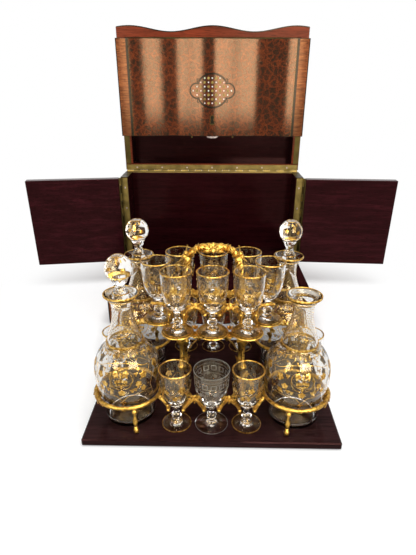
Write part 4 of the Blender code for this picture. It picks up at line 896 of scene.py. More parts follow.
class LIQUEUR_OT_inlay(bpy.types.Operator):
    """Set the flap's lozenge of pearl and brass dots in its ebonised outline"""
    bl_idname = "liqueur.inlay"
    bl_label = "Inlaid cartouche"

    def execute(self, context):
        case = sizes("case")
        face_y = FRONT_Y - SHEET_GAP - case.veneer
        rest = shut_to_rest("flap")
        rise = FLAP_LOW + case.dot_rise
        pitch = case.dot_pitch
        columns, rows, reach = range(-5, 6), range(-3, 4), 5
        for key, radius, parity in (("pearl", case.pearl_radius, 1), ("brass", case.brass_radius, 0)):
            places = [(column * pitch, 0.0, row * pitch + rise) for column in columns for row in rows
                if abs(column) + abs(row) <= reach and (column + row) % 2 == parity]
            dots = bpy.data.meshes.new("dot_places")
            dots.from_pydata(places, [], [])
            mesh = grow("dots", {"Radius": radius, "Thickness": case.veneer, **wave_values(face_y)}, key,
                bpy.data.objects.new("dot_places", dots))
            add_piece("inlay_dots_" + key, mesh, [], "flap", turn=rest)
        bm = bmesh.new()
        oval, ear, curl = 0.029, 0.0128, 0.0026
        for upper in (-1, 1):
            self.ribbon(bm, 0.0, rise, oval * 1.04, upper * oval, 34, 112, 28, 0.003, face_y)
        for side in (-1, 1):
            self.ribbon(bm, side * oval, rise, side * ear, ear, -112, 224, 28, 0.0024, face_y)
            for upper in (-1, 1):
                self.ribbon(bm, side * oval * 0.9, rise + upper * oval * 0.6, side * curl, upper * curl,
                    -150, 260,
                    16, 0.0018, face_y)
        add_piece("inlay_outline", bm, "ebony", "flap", turn=rest)

        low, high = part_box("escutcheon")
        z = (low.z + high.z) / 2 - FOLD_SHIFT
        # The escutcheon is in the darker brass, and inside it a black ebonised sheet is the painted shade of the
        # keyhole's opening.
        for name, grown, key, lift, replaces in (("keyhole_escutcheon", 0.0, "brass_tarnished", 0.0,
                ["escutcheon"]),
                ("keyhole_dark", -0.0011, "ebony", 0.0003, [])):
            eye, foot = 0.0042 + grown, 0.0046 + grown * 0.8
            turns = [radians(-50 + 280 * i / 24) for i in range(25)]
            outline = [(eye * cos(turn), 0.004 + eye * sin(turn)) for turn in turns]
            outline += [(-foot, -0.0085 - grown), (foot, -0.0085 - grown)]
            bm = bmesh.new()
            loft(bm, [[Vector((x, face_y - lift - depth, z + dz)) for x, dz in outline]
                for depth in (0.00002, 0.0003)])
            add_piece(name, bm, key, "flap", replaces, turn=rest)
        # A thin black line along the lid's waved rim: the dark edge of the veneer, and the painted shadow along
        # that edge.
        bm = bmesh.new()
        low, high, step = CASE_TOP + 0.0001, CASE_TOP + 0.00028, 0.00405
        section = ((-0.0001, low), (0.0012, low), (0.0012, high), (-0.0001, high))
        for i in range(-43, 43):
            loft(bm, [[Vector((x, front_line(x) + depth, z)) for depth, z in section]
                for x in (i * step, (i + 1) * step)])
        add_piece("lid_rim_line", bm, "ebony", "lid", turn=shut_to_rest("lid"))
        return {"FINISHED"}

    def ribbon(self, bm, x, z, across, up, start, sweep_angle, steps, width, face_y):
        """A strip of inlay along an arc on the waved face, from start through sweep_angle, in degrees."""
        turns = [radians(start + sweep_angle * i / steps) for i in range(steps + 1)]
        line = [(x + across * cos(turn), z + up * sin(turn)) for turn in turns]
        rings = []
        for i, (x, z) in enumerate(line):
            ahead = Vector(line[min(i + 1, steps)]) - Vector(line[max(i - 1, 0)])
            off = Vector((-ahead.y, ahead.x)).normalized() * width / 2
            ring = []
            for sign, depth in ((-1, 0.00005), (1, 0.00005), (1, 0.00015), (-1, 0.00015)):
                px = x + off.x * sign
                ring.append(Vector((px, front_line(px) - FRONT_Y + face_y - depth, z + off.y * sign)))
            rings.append(ring)
        loft(bm, rings)


class LIQUEUR_OT_hinges(bpy.types.Operator):
    """Make the strip hinges with their knuckles"""
    bl_idname = "liqueur.hinges"
    bl_label = "Strip hinges"

    def execute(self, context):
        lid_length = 2 * HALF_WIDTH - 0.002
        flap_length = 2 * (HALF_WIDTH - SIDE_WALL) - 0.008
        wing_length = CASE_TOP - BASE_TOP - 0.003
        middle = (CASE_TOP + BASE_TOP) / 2
        flap_gap = AXIS_PROUD - 0.0003 - sizes("case").leaf_thickness
        # The lid hinge's fixed leaf takes the brighter brass, and the flap hinge and the wings' moving leaves
        # the darker: painted light and painted shade as well as rubbing and tarnish.
        self.strip("lid", "case", "lid", lid_length, 0.0097, ("brass_rubbed", "brass"), LEAF_GAP,
            framed((0.0, REAR_Y + AXIS_PROUD, CASE_TOP), (0, 1, 0), (0, 0, -1)))
        self.strip("flap", "lid", "flap", flap_length, 0.0065, ("brass_tarnished", "brass_tarnished"), flap_gap,
            framed((0.0, FLAP_INNER_Y + AXIS_PROUD, CASE_TOP), (0, 0, -1), (0, -1, 0)))
        for side, word in SIDES:
            self.strip("wing", "case", "wing_" + word, wing_length, 0.012, ("brass", "brass_tarnished"),
                LEAF_GAP,
                framed((side * (HALF_WIDTH + AXIS_PROUD), RETURN_Y, middle), (side, 0, 0), (0, 1, 0)))
        return {"FINISHED"}

    def strip(self, hinge, fixed, moving, run, width, keys, gap, place):
        """The two leaves of a hinge that is run long, in the shut case's frame."""
        case = sizes("case")
        thick = case.leaf_thickness
        reach = case.barrel_radius + 0.0003
        count = max(3, round(run / case.knuckle_pitch) | 1)
        slot = run / count
        barrel = slot - 0.0005
        word = moving[len(hinge):]
        for parity, (body, key) in enumerate(zip((fixed, moving), keys)):
            leaf_y = (thick / 2 + gap) * (-1 if parity else 1)
            mesh = grow("leaf", {
                "Leaf Size": (width, thick, run), "Leaf Place": (-reach - width / 2, leaf_y, 0.0),
                "Tab Size": (reach, thick, barrel), "Tab Place": (-0.6 * reach, leaf_y, 0.0),
                "Barrel Radius": case.barrel_radius, "Barrel Length": barrel,
                "Knuckles": (count + 1 - parity) // 2,
                "Start": (0.0, 0.0, (slot - run) / 2 + parity * slot), "Step": (0.0, 0.0, 2 * slot)}, key)
            folded = Matrix.Rotation(pi if parity and hinge == "flap" else 0.0, 4, "Z")
            leaf = (hinge if parity else fixed) + "_leaf" + word
            add_piece(hinge + "_strip_" + leaf, mesh, [], body, [hinge + "_hinge_" + leaf],
                turn=shut_to_rest(body) @ place @ folded)


class LIQUEUR_OT_screws(bpy.types.Operator):
    """Drive the screws of the lid's hinge and the returns, and lay the lid's brass rims"""
    bl_idname = "liqueur.screws"
    bl_label = "Screws and brass strips"

    def execute(self, context):
        case = sizes("case")
        bm = bmesh.new()
        radius, slot = case.screw_radius, case.screw_radius * 0.11
        lathe(bm, [(radius * 0.9, -0.0001), (radius, 0.0), (radius * 0.96, 0.00012), (radius * 0.8,
            0.00022)], 20)
        block(bm, (-radius * 0.8, -slot, 0.00021), (radius * 0.8, slot, 0.0003))
        head = template("screw_head", mesh_from(bm, "screw_head"))
        span = 0.306
        rows = [("lid_screws", "lid", case.lid_screws, (-span / 2, REAR_Y - 0.0045, CASE_TOP + LEAF_GAP),
            (span / (case.lid_screws - 1), 0.0, 0.0), (pi, 0.0, 0.0))]
        for side, word in SIDES:
            rows.append(("return_screws_" + word, "case", 3,
                (side * (HALF_WIDTH - SIDE_WALL / 2), RETURN_Y + LEAF_GAP, CASE_TOP - 0.0205),
                (0.0, 0.0, -0.04), (pi / 2, 0.0, 0.0)))
        for seed, (name, body, count, start, step, facing) in enumerate(rows):
            mesh = grow("screws", {"Head": head, "Count": count, "Start": start, "Step": step, "Facing": facing,
                "Seed": seed}, "steel")
            add_piece(name, mesh, [], body, turn=shut_to_rest(body))
        bpy.data.objects.remove(head, do_unlink=True)

        wall = HALF_WIDTH - SIDE_WALL
        strip_rear, lining_rear, lining_top = REAR_Y - 0.012, REAR_Y - 0.0125, LID_TOP - 0.0098
        for side, word in SIDES:
            for name, body, slot, across, depth, height in (
                    ("lid_rim_strip_", "lid", "brass", (HALF_WIDTH - 0.0006, HALF_WIDTH - case.rim_strip),
                    (FLAP_INNER_Y + 0.0005, strip_rear), (CASE_TOP + 0.00002, CASE_TOP + 0.00028)),
                    ("wall_strip_", "case", "brass", (HALF_WIDTH - 0.0004, wall + 0.0004),
                    (RETURN_Y + 0.0006, strip_rear), (CASE_TOP - 0.0004, CASE_TOP + 0.00001)),
                    ("lid_lining_", "lid", "rosewood", (wall - 0.0001, wall - 0.0005),
                    (FLAP_INNER_Y + 0.001, lining_rear), (CASE_TOP + 0.001, lining_top))):
                self.strip(name + word, body, slot, [(sorted(side * x for x in across), depth, height)])
        half = wall - 0.0006
        self.strip("lid_lining_back", "lid", "rosewood", [
            ((-half, half), (lining_rear, REAR_Y - 0.0121), (CASE_TOP + 0.0022, lining_top)),
            ((-half, half), (REAR_Y - 0.016, REAR_Y - 0.0126), (LID_TOP - 0.014, lining_top))])
        return {"FINISHED"}

    def strip(self, name, body, slot, blocks):
        """A piece of thin blocks, each given by what it spans in x, y and z on the shut case."""
        bm = bmesh.new()
        for spans in blocks:
            low, high = zip(*spans)
            block(bm, low, high)
        # Brass strips take the darker copy of the brass: tarnish, with painted shade.
        add_piece(name, bm, "brass_tarnished" if slot == "brass" else slot, body, turn=shut_to_rest(body))


# The gilt rack, in the rack's own frame

RACK_ITEMS = RACK @ Matrix.Translation((0.0, 0.0015, 0.0))
DECANTER_AT = (0.1, 0.06)
LOWER_PITCH, UPPER_PITCH = 0.0416, 0.042
LOWER_ROWS = {-1: -0.0815, 1: 0.0885}
LOWER_SIDE_X, UPPER_SIDE_X, UPPER_ROW_Y = 0.1243, 0.0686, 0.0325
COLUMN_AT = (0.038, 0.03)
INNER_POST = (0.036, 0.012)
GALLERY_Z = 0.133
COLUMN_SHARES = ((0.0, 0.95), (0.03, 1.0), (0.05, 0.9), (0.08, 0.6), (0.11, 0.52), (0.14, 0.78), (0.16, 0.8),
    (0.19, 0.5), (0.3, 0.42), (0.42, 0.55), (0.47, 0.85), (0.5, 0.9), (0.53, 0.55), (0.62, 0.4),
    (0.74, 0.38), (0.83, 0.5), (0.87, 0.92), (0.9, 1.0), (0.92, 0.6), (0.96, 0.62), (1.0, 0.8))
LEG_SHARES = ((0.0, 0.45), (0.03, 0.8), (0.1, 1.0), (0.17, 0.85), (0.21, 0.5), (0.24, 0.72), (0.27, 0.5),
    (0.36, 0.8), (0.47, 1.0), (0.56, 0.72), (0.66, 0.5), (0.74, 0.48), (0.78, 0.8), (0.82, 1.0),
    (0.88, 0.9), (0.92, 0.6), (0.97, 0.8), (1.0, 0.85))
POST_SHARES = ((0.0, 1.5), (0.06, 1.5), (0.1, 0.8), (0.28, 0.7), (0.44, 0.8), (0.48, 1.5), (0.52, 1.5),
    (0.56, 0.8), (0.74, 0.7), (0.9, 0.85), (0.94, 1.4), (1.0, 1.2))


def quarters(x, y):
    """The four corners of the rack with their words."""
    return (("front_left", -x, -y), ("front_right", x, -y), ("rear_left", -x, y), ("rear_right", x, y))


def polyline_object(lines):
    """A template: several open runs of points as edges."""
    mesh = bpy.data.meshes.new("runs")
    points = [Vector(p[:3]) for line in lines for p in line]
    edges, first = [], 0
    for line in lines:
        edges += [(first + i, first + i + 1) for i in range(len(line) - 1)]
        first += len(line)
    mesh.from_pydata(points, edges, [])
    return bpy.data.objects.new("runs", mesh)


def leaves_along(bm, lines, length=0.0062, width=0.0043, core=0.0015, spacing=0.0021, twist=pi * 0.93,
        start=0.3):
    """Adds leaves bound round the given runs, from one chased leaf; the sizes are a hook arm's."""
    leaf = bmesh.new()
    acanthus(leaf, framed((core, 0.0, -length * 0.3), UP, (0, -1, 0)), length, width, 0.0012, thickness=0.0006)
    leaf = template("bound_leaf", mesh_from(leaf, "bound_leaf"))
    grown = grow("run", {"Leaf": leaf, "Spacing": spacing, "Twist": twist, "Start Turn": start}, "gilt",
        polyline_object(lines))
    bpy.data.objects.remove(leaf, do_unlink=True)
    bm.from_mesh(grown)
    bpy.data.meshes.remove(grown)


def cast(name, bm, node):
    """A gilt piece in place of that node, from a shape in the rack's own frame."""
    add_piece(name, bm, "gilt", "rack", [node], turn=RACK_ITEMS)


def hook_arm(bm, runs, start, stem, across, outward, z):
    """One arm of a stem hook: from start, round one side of the stem, to a ball beyond it."""
    rack = sizes("rack")
    stem, across, outward = Vector((*stem, 0.0)), Vector((*across, 0.0)), Vector((*outward, 0.0))
    rise = UP * z
    wire = rack.hook_wire
    cheek = stem + across * rack.hook_cheek + rise
    tip = stem + across * rack.hook_tip_side + outward * rack.hook_reach + rise
    shoulder = (Vector(start) + cheek) / 2 - outward * wire
    line = flowing([(*start, wire * 1.2), (*shoulder, wire * 1.25), (*cheek, wire * 1.05), (*tip,
        wire * 0.9)], 6)
    ribbed = [(*p[:3], p[3] * (1.14 if i % 2 else 0.84)) for i, p in enumerate(line)]
    sweep(bm, ribbed, 8)
    ball(bm, tip, 0.0023, (1.0, 1.0, 0.9))
    runs.append(line[2:-4])


def cartouche(bm, centre, outward):
    """The scrolled boss of a pair of hooks: a lozenge with a rosette, two ears up and a hanging bead."""
    centre, outward = Vector(centre), Vector((*outward, 0.0))
    across = Vector((-outward.y, outward.x, 0.0))
    place = Matrix((across, outward, UP)).transposed().to_4x4()
    lathe(bm, [(0.0012, -0.0018), (0.004, -0.001), (0.0043, 0.0), (0.003, 0.0012), (0.0014, 0.002)], 8,
        Matrix.Translation(centre) @ place @ Matrix.Rotation(-pi / 2, 4, "X") @ Matrix.Diagonal((1, 1.3, 1, 1)))
    ball(bm, centre + outward * 0.0023, 0.0016, steps=10)
    ball(bm, centre + outward * 0.0004 - UP * 0.0056, 0.0011, steps=10)
    ball(bm, centre + outward * 0.0004 - UP * 0.0043, 0.0008, steps=8)
    for sign in (-1, 1):
        for lean, rise, length, width in ((0.75, 0.9, 0.0086, 0.0052), (1.0, 0.1, 0.0074, 0.0048),
                (0.8, -0.6, 0.0066, 0.0042)):
            way = across * sign * lean + UP * rise + outward * 0.1
            acanthus(bm, towards(centre + across * sign * 0.0008, way, outward), length, width, 0.001)


class LIQUEUR_OT_rings(bpy.types.Operator):
    """Cast the decanter rings with their legs, leaves and hooks"""
    bl_idname = "liqueur.rings"
    bl_label = "Decanter rings"

    def execute(self, context):
        rack = sizes("rack")
        ring_z = STAND_Z + rack.ring_rise - 0.0003
        hook_z = TRAY_HIGH.z + rack.hook_rise
        for word, x, y in quarters(*DECANTER_AT):
            side, depth = math.copysign(1, x), math.copysign(1, y)
            bm = bmesh.new()
            loop, wraps = [], []
            for i in range(96):
                angle = tau * i / 96
                # away is measured from the outermost point towards the front, in degrees
                away = math.degrees(math.atan2(-sin(angle) * depth, cos(angle) * side))
                swell = 0.0011 * math.exp(-((away + 14) / 26) ** 2) + 0.0003 * cos(6 * angle)
                loop.append((x + rack.ring_radius * cos(angle), y + rack.ring_radius * sin(angle), ring_z,
                    rack.ring_wire + swell))
            sweep(bm, loop, 10, closed=True)
            for start, stop in ((14, 45), (-52, -19)):
                turns = [radians(degrees) for degrees in range(start, stop, 3)]
                wraps.append([(x + side * rack.ring_radius * cos(a), y + depth * rack.ring_radius * sin(a),
                    ring_z) for a in turns])
            leaves_along(bm, wraps, 0.0075, 0.0046, 0.0024, 0.0017, 2.4, 0.0)
            self.binding(bm, x, y, ring_z, depth * 90)
            runs = []
            for degrees in (-72.0, 140.0):
                angle = radians(degrees)
                way = Vector((-side * cos(angle), -depth * sin(angle), 0.0))
                head = Vector((x, y, ring_z)) + way * rack.ring_radius
                foot = Vector((x, y, STAND_Z)) + way * (rack.ring_radius + 0.0035)
                baluster(bm, foot, head, rack.leg_radius, LEG_SHARES)
            row_y = LOWER_ROWS[int(depth)]
            for stem, across, outward in (((side * LOWER_PITCH, row_y), (side, 0.0), (0.0, depth)),
                    ((side * LOWER_SIDE_X, 0.0), (0.0, depth), (side, 0.0))):
                way = (Vector(stem) - Vector((x, y))).normalized() * rack.ring_radius
                hook_arm(bm, runs, (x + way.x, y + way.y, ring_z), stem, across, outward, hook_z)
            leaves_along(bm, runs)
            cast("cast_ring_" + word, bm, "ring_" + word)
        return {"FINISHED"}

    def binding(self, bm, x, y, z, degrees):
        """Two thin bands crossed over the ring's front."""
        rack = sizes("rack")
        for lean in (-1, 1):
            line = []
            for i in range(17):
                turn = tau * i / 16
                angle = radians(degrees + lean * 3.2 * cos(turn))
                reach = rack.ring_radius + (rack.ring_wire + 0.0002) * sin(turn)
                line.append((x + reach * cos(angle), y + reach * sin(angle),
                    z + (rack.ring_wire + 0.0002) * cos(turn), 0.00045))
            sweep(bm, line[:-1], 6, closed=True)


class LIQUEUR_OT_columns(bpy.types.Operator):
    """Turn the columns with their cartouches and hooks"""
    bl_idname = "liqueur.columns"
    bl_label = "Columns"

    def execute(self, context):
        rack = sizes("rack")
        hook_z = TRAY_HIGH.z + rack.hook_rise
        for word, x, y in quarters(*COLUMN_AT):
            side, depth = math.copysign(1, x), math.copysign(1, y)
            bm = bmesh.new()
            baluster(bm, (x, y, STAND_Z), (x, y, TIER_LOW - 0.0003), rack.column_radius, COLUMN_SHARES, 24)
            row_y = LOWER_ROWS[int(depth)]
            boss = (side * LOWER_PITCH / 2, row_y - depth * rack.cartouche_back, hook_z)
            cartouche(bm, boss, (0.0, depth))
            half_way = ((x + boss[0]) / 2 + side * 0.002, (y + boss[1]) / 2, hook_z, 0.001)
            sweep(bm, flowing([(x, y, hook_z, 0.001), half_way, (*boss, 0.001)], 5), 8)
            runs = []
            for stem, across in (((side * LOWER_PITCH, row_y), (-side, 0.0)), ((0.0, row_y), (side, 0.0))):
                hook_arm(bm, runs, boss, stem, across, (0.0, depth), hook_z)
            leaves_along(bm, runs)
            for i in range(8):
                turn = tau * (i + 0.5) / 8
                way = Vector((cos(turn), sin(turn), 0.0))
                place = towards((x + way.x * 0.0018, y + way.y * 0.0018, STAND_Z + 0.014), way * 0.55 + UP, way)
                acanthus(bm, place, 0.0075, 0.003, 0.001, thickness=0.0005)
            cast("turned_column_" + word, bm, "column_" + word)
        return {"FINISHED"}


def upper_stems():
    """Stem places of the upper glasses in order round the tier, with the way each glass leaves."""
    front = [((i * UPPER_PITCH, -UPPER_ROW_Y), (0.0, -1.0)) for i in (-1, 0, 1)]
    rear = [((i * UPPER_PITCH, UPPER_ROW_Y), (0.0, 1.0)) for i in (1, 0, -1)]
    return front + [((UPPER_SIDE_X, 0.0), (1.0, 0.0))] + rear + [((-UPPER_SIDE_X, 0.0), (-1.0, 0.0))]


class LIQUEUR_OT_tier(bpy.types.Operator):
    """Make the upper tier: eight dishes with rolled rims on a frame of bars"""
    bl_idname = "liqueur.tier"
    bl_label = "Upper tier"

    def execute(self, context):
        rack = sizes("rack")
        stems = [Vector((*stem, 0.0)) for stem, way in upper_stems()]
        bm = bmesh.new()
        ring = [stems[0], stems[2], stems[3], stems[4], stems[6], stems[7]]
        lines = list(zip(ring, ring[1:] + ring[:1]))
        lines += [tuple(Vector((side * INNER_POST[0], depth * UPPER_ROW_Y, 0.0)) for depth in (-1, 1))
            for side in (-1, 1)]
        bar_top = TIER_TOP - 0.002
        middle = (TIER_LOW + bar_top) / 2
        for start, end in lines:
            place, run = towards(start, end - start), (end - start).length
            block(bm, (0.0, -0.0025, TIER_LOW), (run, 0.0025, bar_top), place)
            for edge in (-0.0024, 0.0024):
                sweep(bm, [(0.0, edge, middle, 0.0007), (run, edge, middle, 0.0007)], 6, place=place)
        out, low, top = rack.dish_radius, TIER_TOP - 0.0022, TIER_TOP
        for stem in stems:
            lathe(bm, [(out - 0.003, low), (out - 0.0018, low - 0.0001), (out - 0.0006, low + 0.0002),
                (out + 0.0002, low + 0.0009), (out, low + 0.0016), (out - 0.0008, top),
                (out - 0.0016, top - 0.0002),
                (out - 0.0024, top - 0.0003), (out - 0.004, top - 0.0003), (out - 0.0046, top - 0.0001),
                (out - 0.0052, top - 0.0003), (out - 0.013, top - 0.0003)], 48, Matrix.Translation(stem))
        for depth in (-1, 1):
            for side in (-1, 1):
                centre = Vector((side * UPPER_PITCH / 2, depth * (UPPER_ROW_Y + 0.0048), TIER_LOW + 0.0012))
                outward = Vector((0.0, depth, 0.0))
                ball(bm, centre + outward * 0.0042, 0.0019)
                lathe(bm, [(0.0004, -0.001), (0.0056, -0.001), (0.0068, 0.0), (0.006, 0.001), (0.005, 0.0002),
                    (0.0004, 0.0002)], 20, Matrix.Translation(centre - outward * 0.002))
                stem = centre - outward * 0.01 + UP * 0.003
                for lean, length in ((-0.6, 0.0075), (0.6, 0.0075), (0.0, 0.008)):
                    acanthus(bm, towards(stem, (lean, 0.0, 1.0), outward), length, 0.0036, 0.001,
                        thickness=0.0008)
                for lean in (-1.0, 0.0, 1.0):
                    acanthus(bm, towards(centre, (lean, depth * 0.9, 0.15)), 0.0075, 0.004, 0.0008)
                block(bm, (centre.x - 0.0016, min(depth * UPPER_ROW_Y, centre.y), TIER_LOW),
                    (centre.x + 0.0016, max(depth * UPPER_ROW_Y, centre.y), bar_top))
        cast("tier_dishes", bm, "upper_tier")
        return {"FINISHED"}


class LIQUEUR_OT_gallery(bpy.types.Operator):
    """Make the gallery above the dishes: rail, posts, cartouches and hooks"""
    bl_idname = "liqueur.gallery"
    bl_label = "Gallery"

    def execute(self, context):
        rack = sizes("rack")
        stems = upper_stems()
        foot_z = TIER_TOP - 0.0017
        bosses, outs = [], []
        for i, (stem, way) in enumerate(stems):
            nearby, next_way = stems[(i + 1) % len(stems)]
            out = (Vector(way) + Vector(next_way)).normalized()
            middle = (Vector(stem) + Vector(nearby)) / 2
            middle -= out * (rack.cartouche_back if way == next_way else 0.001)
            bosses.append(Vector((middle.x, middle.y, GALLERY_Z)))
            outs.append(out)
        bm = bmesh.new()
        sweep(bm, [(*boss, rack.gallery_wire) for boss in bosses], 8, closed=True)
        runs = []
        for i, boss in enumerate(bosses):
            stem, way = stems[i]
            nearby, next_way = stems[(i + 1) % len(stems)]
            cartouche(bm, boss, outs[i])
            hook_arm(bm, runs, boss, stem, (-way[1], way[0]), way, GALLERY_Z)
            hook_arm(bm, runs, boss, nearby, (next_way[1], -next_way[0]), next_way, GALLERY_Z)
            if way != next_way:
                baluster(bm, (boss.x, boss.y, foot_z), boss, 0.0015, POST_SHARES, 12)
        leaves_along(bm, runs, spacing=0.0022)
        for side in (-1, 1):
            x = side * INNER_POST[0]
            rail_y = UPPER_ROW_Y - rack.cartouche_back
            sweep(bm, [(x, -rail_y, GALLERY_Z, rack.gallery_wire), (x, rail_y, GALLERY_Z,
                rack.gallery_wire)], 8)
            for depth in (-1, 1):
                y = depth * INNER_POST[1]
                baluster(bm, (x, y, foot_z), (x, y, GALLERY_Z), 0.002, POST_SHARES, 14)
        cast("gallery_rail", bm, "upper_gallery")
        return {"FINISHED"}


class LIQUEUR_OT_handle(bpy.types.Operator):
    """Cast the arched handle: a leaf-wrapped rope with knots, collars and a crown"""
    bl_idname = "liqueur.handle"
    bl_label = "Handle"

    def execute(self, context):
        rack = sizes("rack")
        top = 0.2035
        foot_z = GALLERY_Z + 0.002
        arm = [(INNER_POST[0], 0.0, foot_z), (0.0354, 0.0, foot_z + 0.012), (0.0333, 0.0, 0.162),
            (0.0322, 0.0, 0.176), (0.0312, 0.0, 0.184), (0.0292, 0.0, 0.1915), (0.024, 0.0, 0.198),
            (0.0172, 0.0, 0.2018), (0.0085, 0.0, 0.204)]
        line = arm + [(0.0, 0.0, top)] + [(-x, y, z) for x, y, z in arm[::-1]]
        core = flowing([(*p, rack.handle_wire) for p in line], 6)
        bm = bmesh.new()
        sweep(bm, core, 10)
        count = len(core)
        for strand in range(3):
            twist = []
            for i, point in enumerate(core[2:-2]):
                ahead = Vector(core[min(i + 3, count - 1)][:3]) - Vector(core[i + 1][:3])
                out = Vector((ahead.z, 0.0, -ahead.x)).normalized()
                turn = i * 0.42 + strand * tau / 3
                away = out * cos(turn) + Vector((0, 1, 0)) * sin(turn)
                twist.append((*(Vector(point[:3]) + away * 0.0022), 0.0023))
            sweep(bm, twist, 8)
        for index, radius, length in ((5, 0.006, 0.007), (13, 0.006, 0.007), (7, 0.0058, 0.0036),
                (11, 0.0058, 0.0036)):
            centre = Vector(line[index])
            along = (Vector(line[index + 1]) - Vector(line[index - 1])).normalized()
            place = Matrix.Translation(centre) @ along.to_track_quat("Z", "Y").to_matrix().to_4x4()
            half = length / 2
            lathe(bm, [(radius * 0.6, -half * 1.3), (radius, -half), (radius * 0.9, -half * 0.5),
                (radius * 0.72, 0.0), (radius * 0.9, half * 0.5), (radius, half), (radius * 0.6, half * 1.3)],
                20, place)
            if length > 0.004:
                out = Vector((along.z, 0.0, -along.x))
                for sign in (-1, 1):
                    ball(bm, centre + out * 0.0046 + along * sign * 0.0022, 0.0032, (1.0, 1.3, 1.0))
                    place = towards(centre + out * 0.0042, along * sign + out * 0.15, out)
                    acanthus(bm, place, 0.0125, 0.0084, 0.0012)
        crown = UP * (top + 0.0004)
        ball(bm, crown + UP * 0.0018, 0.0034)
        ball(bm, crown - UP * 0.0045, 0.0042, (1.3, 1.1, 0.8))
        for depth in (-1, 1):
            acanthus(bm, towards(crown + Vector((0.0, depth * 0.0022, 0.001)), (0.0, depth * 0.25, -1.0),
                (0.0, depth, 0.0)), 0.009, 0.0062, 0.001, lobes=3)
            for side in (-1, 1):
                for lean, lift, length in ((1.0, -0.3, 0.015), (1.0, 0.1, 0.0125), (0.8, 0.55, 0.0075)):
                    way = Vector((side * lean, depth * 0.1, lift))
                    acanthus(bm, towards(crown + Vector((0.0, depth * 0.0026, -0.002)), way, (0.0, depth, 0.4)),
                        length, 0.0072, 0.0012, thickness=0.0012)
        for side in (-1, 1):
            for way in (Vector((side * 0.25, 1.0, -0.35)), Vector((side * 0.25, -1.0, -0.35)),
                    Vector((side, 0.0, 0.3)), Vector((-side, 0.0, 0.3))):
                acanthus(bm, towards((side * INNER_POST[0], 0.0, foot_z + 0.002), way), 0.0085, 0.0046, 0.0018,
                    lobes=3)
        cast("arched_handle", bm, "handle")
        return {"FINISHED"}


# Glass and its gilding

GLASS_HEIGHT, STEM_TOP = 0.078, 0.027
BOWL_SHARES = ((0.0, 0.26), (0.05, 0.42), (0.12, 0.6), (0.22, 0.745), (0.34, 0.85), (0.52, 0.925), (0.75, 0.97),
    (1.0, 1.0))
DECANTER_HEIGHT, DECANTER_BODY = 0.162, 0.0383
DECANTER_SHARES = ((0.0, 0.762), (0.006, 0.777), (0.06, 0.81), (0.15, 0.875), (0.29, 0.97), (0.39, 1.0),
    (0.48, 0.96), (0.56, 0.8), (0.6, 0.61), (0.622, 0.545), (0.64, 0.53), (0.68, 0.5),
    (0.71, 0.46), (0.745, 0.405), (0.78, 0.36), (0.82, 0.322), (0.86, 0.305), (0.9, 0.307),
    (0.93, 0.325), (0.955, 0.375), (0.98, 0.475), (0.993, 0.51), (1.0, 0.505))
ROUND = [tau * i / 72 for i in range(73)]
BALL_RISE, BALL_RADIUS, PLUG_DEPTH = 0.033, 0.0149, 0.018
# Radius of the rim and of the foot
SMALL_GLASS, LARGE_GLASS = (0.0187, 0.0173), (0.0205, 0.0195)


def smooth_profile(points, steps=4):
    """A smoother run of (radius, height, cut) points."""
    return [tuple(p) for p in flowing([(*p, 0.0)[:3] if len(p) < 3 else p for p in points], steps)]


def radius_at(outline, z):
    """Radius of a run of (radius, height) points at a height."""
    for (r0, z0, *_), (r1, z1, *_) in zip(outline, outline[1:]):
        if min(z0, z1) <= z <= max(z0, z1) and z0 != z1:
            return r0 + (r1 - r0) * (z - z0) / (z1 - z0)
    return outline[-1][0]


def bowl_outline(rim):
    """Outside of a glass's bowl, from its foot up to the rim."""
    height = GLASS_HEIGHT - STEM_TOP
    return smooth_profile([(share_r * rim, STEM_TOP + share_z * height) for share_z, share_r in BOWL_SHARES])


def glass_shape(rim, foot):
    """A stemmed glass as a bmesh: domed foot, faceted stem and knop, thin bowl."""
    glass = sizes("glass")
    bm = bmesh.new()
    outside = bowl_outline(rim)
    floor = STEM_TOP + 0.006
    inside = [(max(r - glass.wall * (1.0 if z > floor + 0.004 else 1.25), 0.0008), z) for r, z, cut in outside
        if z > floor + 0.0012]
    stem, knop = glass.stem_radius, glass.knop_radius
    lower = [(foot * 0.35, 0.0004), (foot * 0.8, 0.0002), (foot - 0.0006, 0.0), (foot, 0.0005),
        (foot - 0.0003, 0.0012), (foot * 0.8, 0.0017), (foot * 0.52, 0.0027), (stem + 0.0034, 0.0042),
        (stem + 0.0028, 0.0054),
        (stem + 0.0008, 0.0068, 0.6), (stem, 0.008, 1.0), (knop * 0.86, 0.0094, 1.0), (knop, 0.0112, 1.0),
        (knop, 0.0138, 1.0), (knop * 0.86, 0.0156, 1.0), (stem, 0.0172, 1.0), (stem - 0.0001, 0.0205, 1.0),
        (stem + 0.0002, 0.024, 0.7)]
    lip = (rim - glass.wall / 2, GLASS_HEIGHT + 0.0002)
    lathe(bm, lower + outside + [lip] + inside[::-1] + [(0.0006, floor)], 48)
    return bm


def gold_ring(bm, radius, z, half_width, half_height, steps=48):
    """A gold line round a form."""
    lathe(bm, [(radius - half_width, z - half_height), (radius + half_width * 0.7, z - half_height),
        (radius + half_width, z), (radius + half_width * 0.7, z + half_height),
        (radius - half_width, z + half_height)], steps, closed=True)


def on_form(outline, angle, z, lift):
    """A point on a turned form, lifted off it."""
    r = radius_at(outline, z) + lift
    return Vector((r * cos(angle), r * sin(angle), z))


def gold_patch(bm, outline, angle, z, shape):
    """A painted patch of gold: (u, v) points round a centre, laid on the form."""
    thick = sizes("glass").gold_thickness
    around = radius_at(outline, z)
    rings = []
    for lift, scales in ((0.00003, (0.04, 0.5)), (0.00003, (1.0,)), (0.00003 + thick, (0.96, 0.5, 0.04))):
        for scale in scales:
            rings.append([on_form(outline, angle + u * scale / around, z + v * scale, lift) for u, v in shape])
    loft(bm, rings)


